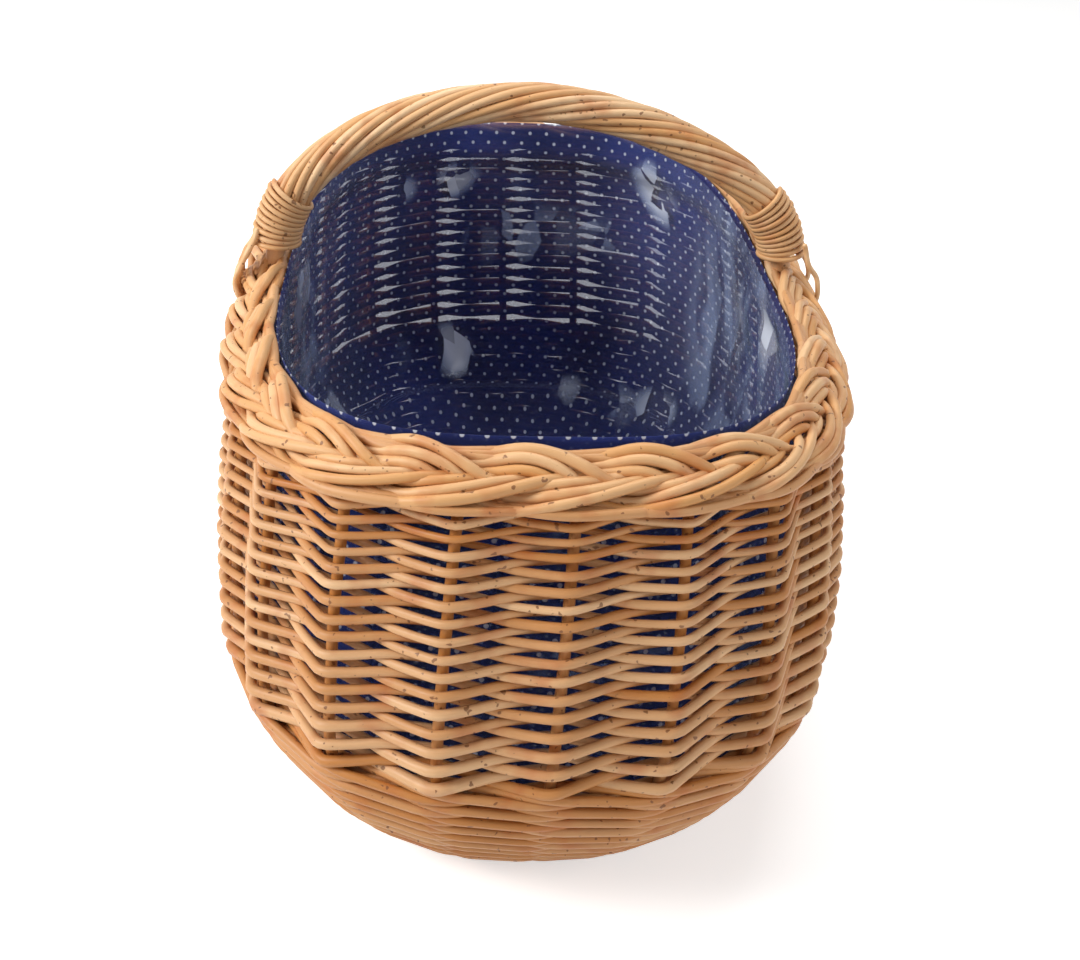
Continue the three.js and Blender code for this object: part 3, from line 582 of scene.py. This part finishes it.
def makeWale():
    # each row is one rod that closes after three laps: it goes in front of two stakes and behind the third,
    # and up by lift sin t, with one turn of t for three stakes
    wale = {
        "radius": 2.2 * mm, "swing": 5.6 * mm, "behind": 3.6 * mm, "lift": 2.5 * mm, "lowest": 8.0 * mm,
        "underWeave": 4.0 * mm, "rowPitch": 8.3 * mm, "period": 3, "uneven": 0.25 * mm, "thicker": 0.07,
        "rounding": 2, "stations": 10, "tones": (0.0, 0.4),
    }
    top = np.interp(basket["weaveStart"], profileHeights, profileLengths) - wale["underWeave"]
    bottom = np.interp(wale["lowest"], profileHeights, profileLengths)
    count = int(round((top - bottom) / wale["rowPitch"])) + 1
    heights = np.interp(np.linspace(bottom, top, count), profileLengths, profileHeights)
    stops = stakeCount * wale["period"]
    laps = np.arange(stops * wale["stations"]) / (stakeCount * wale["stations"])
    begin = np.arange(count)[:, None]
    behind = (np.arange(stops)[None, :] + begin) % wale["period"] == 0
    outward = np.where(behind, -wale["behind"], wale["swing"])
    path = strung(heights, outward, wale["stations"], wale["rounding"])
    turn = 2 * np.pi * (laps[None, :] * stakeCount + begin) / wale["period"]
    _, out, up = wallFrame(np.broadcast_to(laps, turn.shape), np.broadcast_to(heights[:, None], turn.shape))
    lift = wale["lift"] * np.sin(turn) + wale["uneven"] * waves(laps / wale["period"], count, 43, 9, 33)
    path = path + up * lift[..., None]
    radius = wale["radius"] * (1 + wale["thicker"] * waves(laps / wale["period"], count, 41, 3, 17))
    rodMesh("waled_edge", path, radius, out, buffWillow, "buff_willow", ["bottom_wale_2", "bottom_wale_3"],
            seed=47, sides=7, closed=True, tones=wale["tones"])


def makeFoot():
    # rods laid round under the edge, which the basket stands on: ring k lies first - pitch k outside the
    # wall's lowest line and a little higher than the ring before it
    foot = {
        "radius": 2.3 * mm, "rings": 5, "first": 11.0 * mm, "pitch": 4.3 * mm, "clear": 0.7 * mm, "stepUp": 0.3 * mm,
        "uneven": 0.25 * mm, "stations": 10,
    }
    share = np.arange(stakeCount * foot["stations"]) / (stakeCount * foot["stations"])
    middle, out, _ = wallFrame(share, np.zeros_like(share))
    ring = np.arange(foot["rings"])[:, None]
    offsets = foot["first"] - foot["pitch"] * ring
    path = middle[None] + unit(out * levelOnly)[None] * offsets[..., None]
    uneven = foot["uneven"] * np.abs(waves(share, foot["rings"], 53, 9, 26))
    path[..., 2] = foot["radius"] + foot["clear"] + uneven + foot["stepUp"] * ring
    rodMesh("foot_rods", path, foot["radius"], upwards, buffWillow, "buff_willow", ["bottom_wale_1"],
            seed=57, sides=7, closed=True)


makeWale()
makeFoot()
print("bottom edge waled")


# Plaited border: each strand of three rods comes up inside, runs down across the upper half on top,
# dives under the sweep along the lower half, and comes out as the next sweep

border = {
    "middleOut": -2.4 * mm, "middleHeight": 209.8 * mm, "tilt": math.radians(38), "swing": 7.6 * mm, "depth": 2.9 * mm,
    "skew": 0.28, "flat": 0.6, "start": 0.16, "dive": 2.6, "diveWidth": 2.6 * mm, "rods": 3, "rodRadius": 2.12 * mm,
    "rodStep": 1.94, "uneven": 0.5 * mm, "thicker": 0.11, "period": 3, "stations": 15, "tones": (0.05, 0.7),
}
borderStations = stakeCount * border["stations"] * border["period"]
borderLaps = border["period"] * np.arange(borderStations) / borderStations


def borderTurn(start):
    return 2 * np.pi * (borderLaps * stakeCount / border["period"] + start)


def borderWaves(seed, low, high):
    return waves(borderLaps / border["period"], 1, seed, low, high)[0]


def borderRods(name, rods, material, slot, nodes, **look):
    # rods are listed as laps, across, depth and radius: across and depth are measured on the tilted band,
    # across upwards and inwards, depth off its face
    sine, cosine = math.sin(border["tilt"]), math.cos(border["tilt"])
    paths, radii, facings = [], [], []
    for laps, across, depth, radius in rods:
        middle, out, _ = wallFrame(laps, np.full_like(laps, basket["wallTop"]))
        level = unit(out * levelOnly)
        path = middle + level * (border["middleOut"] - across * cosine + depth * sine)[:, None]
        path[:, 2] = border["middleHeight"] + across * sine + depth * cosine
        paths.append(path)
        radii.append(radius)
        facings.append(level * sine + upwards * cosine)
    rodMesh(name, np.stack(paths), np.stack(radii), np.stack(facings), material, slot, nodes, closed=True, **look)


def makePlait():
    # across swings as a flattened, skewed sine; depth changes sign with across and with the strand's direction
    turn = borderTurn(border["start"])
    skewed = turn - border["skew"] * np.sin(turn)
    run = perimeter * border["period"] / stakeCount / (2 * np.pi)  # length along the border for one unit of turn
    bent = np.tanh(border["flat"] * np.sin(skewed))
    across = border["swing"] * bent / math.tanh(border["flat"])
    slope = border["swing"] * border["flat"] * (1 - bent ** 2) / math.tanh(border["flat"]) * np.cos(skewed)
    slope = slope * (1 - border["skew"] * np.cos(turn)) / run
    rods = []
    for rod in range(border["rods"]):
        offset = (rod - 1) * border["rodRadius"] * border["rodStep"]
        lapsHere = borderLaps - offset * slope / np.sqrt(1 + slope ** 2) / perimeter
        acrossHere = across + offset / np.sqrt(1 + slope ** 2) + border["uneven"] * borderWaves(61 + rod, 9, 61)
        layer = -np.tanh(border["dive"] * np.cos(skewed)) * np.tanh(acrossHere / border["diveWidth"])
        depth = border["depth"] * layer + border["uneven"] * borderWaves(71 + rod, 9, 61)
        radius = border["rodRadius"] * (1 + border["thicker"] * borderWaves(81 + rod, 5, 40))
        rods.append((lapsHere, acrossHere, depth, radius))
    borderRods("border_plait", rods, paleWillow, "pale_willow", ["border_plait_1", "border_plait_2", "border_plait_3"],
               seed=67, sides=10, tones=border["tones"])


def makeSweeps():
    # long sweeps under the plait: they leave its lower or inner edge, rise slowly and turn back out of sight
    sweep = {
        "middle": (-11.0 * mm, 10.4 * mm), "swing": (2.9 * mm, 1.6 * mm), "skew": 0.7, "start": (0.02, 0.52),
        "under": 2.6 * mm, "innerUnder": 0.5, "rollsFrom": -14 * mm, "rollsTo": -10 * mm,
        "uneven": 0.3 * mm, "thicker": 0.10, "rodRadius": 1.95 * mm,
    }
    rods = []
    for which in (0, 1):
        turn = borderTurn(sweep["start"][which])
        rise = sweep["swing"][which] * np.sin(turn - sweep["skew"] * np.sin(turn))
        across = sweep["middle"][which] + rise + sweep["uneven"] * borderWaves(91 + which, 9, 61)
        rolled = smoothStep(across, sweep["rollsFrom"], sweep["rollsTo"]) if which == 0 else sweep["innerUnder"]
        radius = sweep["rodRadius"] * (1 + sweep["thicker"] * borderWaves(93 + which, 5, 40))
        rods.append((borderLaps, across, -sweep["under"] * rolled, radius))
    borderRods("border_sweeps", rods, buffWillow, "buff_willow", [], seed=95)


makePlait()
makeSweeps()
print("border plaited")


# Bow handle

bow = {
    "spread": 240 * mm, "rise": 70 * mm, "power": 1.87, "lean": -0.035, "tip": 128 * mm,
    "core": 5 * mm, "rods": 12, "rodRadius": 1.92 * mm, "turns": 1.7,
}


def archPoint(part):
    # superellipse arch from the left, whose right side sits a little low: the rise changes by lean x
    angle = np.pi * (1 - part)
    c, s = np.cos(angle), np.sin(angle)
    power = 2 / bow["power"]
    x = bow["spread"] / 2 * np.sign(c) * np.abs(c) ** power
    z = basket["borderTop"] + (bow["rise"] + bow["lean"] * x) * np.abs(s) ** power
    return np.stack([x, np.zeros_like(x), z], -1)


archParts = np.linspace(0, 1, 1601)
archPoints = archPoint(archParts)
archLengths = np.concatenate([[0], np.cumsum(np.linalg.norm(np.diff(archPoints, axis=0), axis=1))])
archLength = archLengths[-1]


def archFrame(length):
    # middle, outward and across; before 0 and after the whole length it runs straight on down the legs
    inside = np.clip(length, 0, archLength)
    part = np.interp(inside, archLengths, archParts)
    step = 0.004
    forward = unit(archPoint(np.clip(part + step, 0, 1)) - archPoint(np.clip(part - step, 0, 1)))
    middle = archPoint(part) + forward * (length - inside)[..., None]
    across = np.broadcast_to(np.array([0.0, 1.0, 0.0]), middle.shape)
    return middle, np.cross(forward, across), across


def bowPoint(length, angle, radius):
    # a point at an angle round the bow's middle line, and its spoke
    middle, outward, across = archFrame(length)
    spoke = outward * np.cos(angle)[..., None] + across * np.sin(angle)[..., None]
    return middle + spoke * np.broadcast_to(radius, angle.shape)[..., None], spoke


def makeCore():
    # leg, arch and leg: each leg blends from the wall's line over to the foot of the arch and is thinner in the side
    core = {
        "stations": 120, "legStations": 14, "legTop": 2 * mm, "bendsFrom": 6 * mm, "thickFrom": 4 * mm,
        "legShare": 0.54,
    }
    wallTop, borderTop = basket["wallTop"], basket["borderTop"]
    arch, _, _ = archFrame(np.linspace(0, archLength, core["stations"]))
    legHeights = np.linspace(bow["tip"], borderTop - core["legTop"], core["legStations"])

    def leg(side):
        share = 0.5 if side < 0 else 0.0
        blend = smoothStep(legHeights, wallTop - core["bendsFrom"], borderTop)
        inSide = wallPoint(np.full_like(legHeights, share), np.minimum(legHeights, wallTop))
        x = side * (np.abs(inSide[:, 0]) * (1 - blend) + bow["spread"] / 2 * blend)
        return np.stack([x, inSide[:, 1] * (1 - blend), legHeights], -1)

    path = np.concatenate([leg(-1), arch[1:-1], leg(1)[::-1]])
    thick = smoothStep(path[:, 2], wallTop, borderTop + core["thickFrom"])
    radius = bow["core"] * (core["legShare"] + (1 - core["legShare"]) * thick)
    rodMesh("bow_core", path[None], radius[None], np.array([0, 1.0, 0]), buffWillow, "buff_willow", ["handle_bow"],
            seed=91, sides=12)


def makeRoping():
    # rod k winds round the core at the angle 2 pi (k / rods + turns * share)
    roping = {
        "ends": 4 * mm, "gap": 0.15 * mm, "drift": 0.05, "uneven": 0.25 * mm, "thicker": 0.08, "stations": 150,
    }
    length = np.linspace(roping["ends"], archLength - roping["ends"], roping["stations"])
    rods = bow["rods"]
    rod = np.arange(rods)[:, None]
    share = np.linspace(0, 1, roping["stations"])
    turn = 2 * np.pi * (rod / rods + bow["turns"] * share[None, :]) + roping["drift"] * waves(share, rods, 93, 1, 4)
    radius = bow["core"] + bow["rodRadius"] + roping["gap"] + roping["uneven"] * waves(share, rods, 95, 1, 6)
    path, spoke = bowPoint(np.broadcast_to(length, turn.shape), turn, radius)
    thickness = bow["rodRadius"] * (1 + roping["thicker"] * waves(share, rods, 97, 1, 4))
    rodMesh("handle_roping", path, thickness, spoke, paleWillow, "pale_willow",
            ["handle_roping_%d" % i for i in (1, 2, 3, 4)], seed=99, sides=9)


def makeLapping(name, start, turns, direction, seed):
    # one rod wound round the roping: a helix along the bow, a pitch for each turn
    lapping = {"rodRadius": 1.25 * mm, "radius": 10.4 * mm, "pitch": 2.75 * mm, "uneven": 0.2 * mm, "stations": 28}
    turn = np.linspace(0, turns, turns * lapping["stations"])
    length = start + direction * lapping["pitch"] * turn
    radius = lapping["radius"] + lapping["uneven"] * waves(turn / turns, 1, seed, 3, 9)[0]
    path, spoke = bowPoint(length, 2 * np.pi * turn, radius)
    rodMesh(name, path[None], lapping["rodRadius"], spoke[None], paleWillow, "pale_willow", [name], seed)


def makeLappingEnds(name, side, rods, seed):
    # ends that leave the lapping, cross the border slantwise and go in under its lower edge:
    # one line, smoothed by a moving mean, repeated across the handle's foot
    ends = {
        "rodRadius": 1.25 * mm, "spread": 9.5 * mm, "splay": 1.35, "slant": 6 * mm, "slantFrom": 0.4,
        "uneven": 0.6 * mm, "unevenOut": 0.6, "facing": (0.8, 0.6), "smoothing": 9, "stations": 60,
        # distance from the middle in mm, share of the splay and slant, height in mm
        "line": [(128, 0, 234), (130, 0.1, 227), (133, 0.3, 221), (137, 0.6, 215), (139, 0.85, 208),
                 (137, 1, 202), (131, 1, 198)],
    }
    line = np.array(ends["line"])
    part = np.linspace(0, len(line) - 1, ends["stations"])
    fine = np.stack([np.interp(part, np.arange(len(line)), line[:, k]) for k in range(3)], -1)
    padding = ends["smoothing"] // 2
    padded = np.concatenate([np.repeat(fine[:1], padding, 0), fine, np.repeat(fine[-1:], padding, 0)])
    window = np.ones(ends["smoothing"]) / ends["smoothing"]
    outward, splayed, height = (np.convolve(padded[:, k], window, "valid")[None, :] for k in range(3))
    across = np.linspace(-1, 1, rods)[:, None] * ends["spread"] * (1 + (ends["splay"] - 1) * splayed)
    across = across + side * ends["slant"] * (splayed - ends["slantFrom"])
    uneven = ends["uneven"] * waves(np.linspace(0, 1, len(part)), rods, seed, 1, 3)
    x = side * (outward * mm + ends["unevenOut"] * uneven)
    path = np.stack([x, across + uneven, np.broadcast_to(height * mm, across.shape)], -1)
    facing = np.array([side * ends["facing"][0], 0.0, ends["facing"][1]])
    rodMesh(name, path, ends["rodRadius"], facing, paleWillow, "pale_willow", [], seed)


makeCore()
makeRoping()
makeLapping("left_lapping", -1 * mm, 10, 1, 101)
makeLapping("right_lapping", archLength + 1 * mm, 11, -1, 103)
makeLappingEnds("left_lapping_ends", -1, 8, 105)
makeLappingEnds("right_lapping_ends", 1, 2, 107)
print("handle roped")


# Base: sticks across and a rod woven through them

def makeBase():
    # sticks along the base inside its outline, and rows across them that go over and under by a cosine
    base = {
        "sticks": 9, "stickRadius": 3 * mm, "height": 8.7 * mm, "spacing": 16 * mm, "stickStations": 30,
        "rodRadius": 2.2 * mm, "pitch": 5.6 * mm, "tightness": 0.93, "rodStations": 90,
        "intoWall": 2 * mm, "firstRow": 5 * mm, "lastRow": 4 * mm,
    }
    share = np.linspace(0, 1, 721)  # fine enough to find the widest places
    foot = wallPoint(share, np.zeros_like(share))
    halfWidth, halfLength = foot[:, 0].max() + base["intoWall"], foot[:, 1].max() + base["intoWall"]
    power = basket["planPower"]

    def room(value, half, other):
        # half width of the outline at a distance from its middle
        return other * np.maximum(1e-4, 1 - (np.abs(value) / half) ** power) ** (1 / power)

    x = base["spacing"] * (np.arange(base["sticks"]) - base["sticks"] // 2)
    y = np.linspace(-1, 1, base["stickStations"])[None, :] * room(x, halfWidth, halfLength)[:, None]
    sticks = np.stack([np.broadcast_to(x[:, None], y.shape), y, np.full_like(y, base["height"])], -1)
    rodMesh("base_sticks", sticks, base["stickRadius"], upwards, buffWillow, "buff_willow",
            ["base_stick_%d" % i for i in range(1, 6)], seed=111)
    rows = np.arange(-halfLength + base["firstRow"], halfLength - base["lastRow"], base["pitch"])
    xs = np.linspace(-1, 1, base["rodStations"])[None, :] * room(rows, halfLength, halfWidth)[:, None]
    sign = np.where(np.arange(len(rows)) % 2 == 0, 1.0, -1.0)[:, None]
    swing = (base["stickRadius"] + base["rodRadius"]) * base["tightness"]
    lift = sign * np.cos(np.pi * xs / base["spacing"]) * swing
    path = np.stack([xs, np.broadcast_to(rows[:, None], xs.shape), base["height"] + lift], -1)
    rodMesh("base_weave", path, base["rodRadius"], upwards, buffWillow, "buff_willow", ["base_weaver"],
            seed=113, sides=6)


makeBase()
print("base woven")


# Liners: one surface from inside the border down the wall, off it at the crease, and in over the base

liner = {
    "top": 212 * mm, "topAtEnds": 9.5 * mm, "endPower": 1.2, "crease": 50 * mm, "floor": 18.5 * mm,
    "drawnIn": (0.34, 0.24), "sagPower": 1.55, "ripple": 1.6 * mm, "swell": 1.2 * mm, "lowered": 0.6,
    "borderRoom": 8.5 * mm, "roomAtHandle": 0.6, "roomFrom": 188 * mm, "roomTo": 206 * mm,
    "clothWay": 0.97, "columns": 340, "wallRows": 84, "slopeRows": 26, "floorRows": 24,
}


def linerSurface(inward, lower, folds, seed):
    # wall: stake line less the inward gap and the folds; slope: the crease ring drawn in by t;
    # floor: on to the middle
    columns = liner["columns"]
    share = np.arange(columns) / columns
    towardsEnd = np.abs(np.sin(2 * np.pi * share))
    v = np.linspace(0, 1, liner["wallRows"])[:, None]
    top = liner["top"] + liner["topAtEnds"] * towardsEnd[None, :] ** liner["endPower"] - lower
    height = np.broadcast_to(top + (liner["crease"] - top) * v, (liner["wallRows"], columns))
    middle, out, _ = wallFrame(np.broadcast_to(share, height.shape), np.minimum(height, basket["wallTop"]))
    middle[..., 2] = height
    room = liner["borderRoom"] * (liner["roomAtHandle"] + (1 - liner["roomAtHandle"]) * towardsEnd)
    gap = inward + room[None, :] * smoothStep(height, liner["roomFrom"], liner["roomTo"])
    wall = middle - out * (gap + folds(share[None, :], v))[..., None]
    crease = wall[-1]
    t = np.linspace(0, 1, liner["slopeRows"])[1:, None]
    sag = (crease[None, :, 2] - liner["floor"]) * (1 - t) ** liner["sagPower"]
    ripple = liner["ripple"] * np.sin(np.pi * t) * waves(share, 1, seed, 5, 19)[0][None, :]
    drawnX, drawnY = (1 - inset * t for inset in liner["drawnIn"])
    slope = np.stack([crease[None, :, 0] * drawnX, crease[None, :, 1] * drawnY, liner["floor"] + sag + ripple], -1)
    rim = slope[-1]
    t = np.linspace(0, 1, liner["floorRows"])[1:-1, None]
    swell = liner["swell"] * np.sin(np.pi * t) * waves(share, 1, seed + 1, 2, 7)[0][None, :]
    inner = np.stack([rim[None, :, 0] * (1 - t), rim[None, :, 1] * (1 - t), liner["floor"] + np.abs(swell)], -1)
    surface = np.concatenate([wall, slope, inner])
    surface[liner["wallRows"]:, :, 2] += lower * liner["lowered"]
    return surface, share


def makeLiner(name, surface, share, material, nodes, thickness):
    rows, columns = surface.shape[:2]
    centre = np.array([[0, 0, surface[-1, :, 2].mean()]])
    points = np.concatenate([surface.reshape(-1, 3), centre])
    grid = np.arange(rows * columns).reshape(rows, columns)
    here, below = grid[:-1], grid[1:]
    quads = np.stack([here, below, np.roll(below, -1, 1), np.roll(here, -1, 1)], -1).reshape(-1, 4)
    last = grid[-1]
    triangles = np.stack([last, np.full(columns, rows * columns), np.roll(last, -1)], -1)
    steps = np.linalg.norm(np.diff(surface, axis=0), axis=2).mean(1)
    down = np.concatenate([[0], np.cumsum(steps)])
    # the pattern runs round and down the wall, and lies flat on the slope and the floor
    pattern = np.stack(np.broadcast_arrays(share * perimeter * liner["clothWay"], down[:, None]), -1)
    pattern[liner["wallRows"]:] = surface[liner["wallRows"]:, :, :2]
    uv = np.concatenate([pattern.reshape(-1, 2), [[0, 0]]])
    a, b, c, d = (points[quads[:, k]] for k in range(4))
    area = (np.linalg.norm(np.cross(b - a, c - a), axis=1) + np.linalg.norm(np.cross(c - a, d - a), axis=1)).sum() / 2
    print(name, "area", round(float(area), 4), "around", round(float(perimeter), 3), "down", round(float(down[-1]), 3))
    piece = makeMesh(name, points, quads, triangles, uv, None, material, nodes)
    solid = piece.modifiers.new("thickness", "SOLIDIFY")
    solid.thickness = thickness
    solid.offset = 1
    return piece


def cottonFolds(share, v):
    # shallow upright folds: a mean depth, slow and fine waves, none at the rim
    folds = {"mean": 0.9 * mm, "slow": 0.5 * mm, "fine": 0.3 * mm, "below": 6}
    slow = waves(share[0], 1, 121, 4, 15)[0][None, :]
    fine = waves(share[0], 1, 123, 14, 40)[0][None, :]
    return (folds["mean"] + folds["slow"] * slow + folds["fine"] * fine) * np.clip(v * folds["below"], 0, 1)


def filmFolds(share, v):
    # broad folds, deepest at the two sides under the handle, with a finer crumple over them
    folds = {
        "mean": 2.2 * mm, "slow": 1.2 * mm, "cross": 1.2 * mm, "fine": 0.6 * mm, "deep": 7 * mm,
        "falls": 17, "fallBend": 0.35, "bendTurn": 5, "sharp": 0.7, "belly": 0.6, "narrow": 3, "below": 6, "atRim": 0.1,
        # turns round the basket and down the wall
        "crossing": ((9, 1.7), (4, -1.1)), "crossStart": 1.3, "crumple": (6, 2.3),
    }

    def swing(turns, start=0.0):
        return np.sin(2 * np.pi * (share * turns[0] + v * turns[1]) + start)

    slow = waves(share[0], 1, 131, 3, 11)[0][None, :]
    fine = waves(share[0], 1, 133, 16, 45)[0][None, :] * swing(folds["crumple"])
    cross = swing(folds["crossing"][0], folds["crossStart"]) * swing(folds["crossing"][1])
    bend = folds["fallBend"] * np.sin(folds["bendTurn"] * v)
    fall = np.abs(np.sin(2 * np.pi * (share * folds["falls"] + bend))) ** folds["sharp"]
    besideHandle = np.abs(np.cos(2 * np.pi * share)) ** folds["narrow"]
    depth = folds["mean"] + folds["slow"] * slow + folds["cross"] * cross + folds["fine"] * fine
    depth = depth + folds["deep"] * besideHandle * fall * np.sin(np.pi * v) ** folds["belly"]
    return depth * np.clip(v * folds["below"], folds["atRim"], 1)


cotton, linerShares = linerSurface(8.7 * mm, 0.0, cottonFolds, 125)
cottonLiner = makeLiner("cotton_liner", cotton, linerShares, spottedCotton, ["fabric_liner"],
                        0.35 * mm)
film, linerShares = linerSurface(10.4 * mm, 1.8 * mm, filmFolds, 135)
filmLiner = makeLiner("film_bag", film, linerShares, clearFilm, ["film_liner"], 0.12 * mm)
print("liners laid in")


# Floor, world and lamps

def seenShare(tree):
    # 1 for rays from the camera and for those that gloss or film sends on, else 0
    rays = node(tree, "ShaderNodeLightPath")
    sentOn = math2(tree, "MAXIMUM", rays.outputs["Is Glossy Ray"], rays.outputs["Is Transmission Ray"])
    return math2(tree, "MAXIMUM", rays.outputs["Is Camera Ray"], sentOn)


def makeFloor():
    stage = {"size": 6.0, "colour": (0.86, 0.86, 0.86), "roughness": 0.9, "glow": 0.55}
    mesh = bpy.data.meshes.new("floor")
    half = stage["size"] / 2
    mesh.from_pydata([(-half, -half, 0), (half, -half, 0), (half, half, 0), (-half, half, 0)], [], [(0, 1, 2, 3)])
    floor = bpy.data.objects.new("floor", mesh)
    scene.collection.objects.link(floor)
    material, tree, shader, output = newMaterial("floor")
    plug(tree, shader, {"Base Color": stage["colour"], "Roughness": stage["roughness"], "Specular IOR Level": 0.0})
    glow = node(tree, "ShaderNodeEmission", {"Strength": math2(tree, "MULTIPLY", seenShare(tree), stage["glow"])})
    both = node(tree, "ShaderNodeAddShader", {0: shader.outputs[0], 1: glow.outputs[0]})
    tree.links.new(both.outputs[0], output.inputs[0])
    mesh.materials.append(material)


def makeWorld():
    # soft light on the object, plain white where the background is seen
    world = bpy.data.worlds.new("studio")
    world.use_nodes = True
    tree = world.node_tree
    tree.nodes.clear()
    soft = node(tree, "ShaderNodeBackground", {"Color": (1, 0.99, 0.98), "Strength": 0.27})
    white = node(tree, "ShaderNodeBackground", {"Color": grey(1), "Strength": 1.0})
    blendShaders(tree, seenShare(tree), soft, white, node(tree, "ShaderNodeOutputWorld"))
    scene.world = world


def placeLamp(name, place, target, size, power, colour):
    light = bpy.data.lights.new(name, "AREA")
    light.shape = "RECTANGLE"
    light.size, light.size_y = size
    light.energy = power
    light.color = colour
    lamp = bpy.data.objects.new(name, light)
    back = unit(np.array(place) - np.array(target))
    side = unit(np.cross(upwards, back))
    lamp.matrix_world = turnedTo(side, np.cross(back, side), back, place)
    scene.collection.objects.link(lamp)


makeFloor()
makeWorld()
placeLamp("key", (-1.7, -0.5, 1.25), (0, 0, 0.12), (0.8, 0.8), 38, (1.0, 0.985, 0.96))
placeLamp("fill", (1.3, -1.0, 0.9), (0, 0, 0.12), (1.2, 1.0), 7, (0.97, 0.985, 1.0))
placeLamp("top", (0.1, 0.4, 1.8), (0, 0, 0.1), (1.2, 1.2), 16, (1, 1, 1))
scene.view_settings.view_transform = "Standard"
print("stage set")
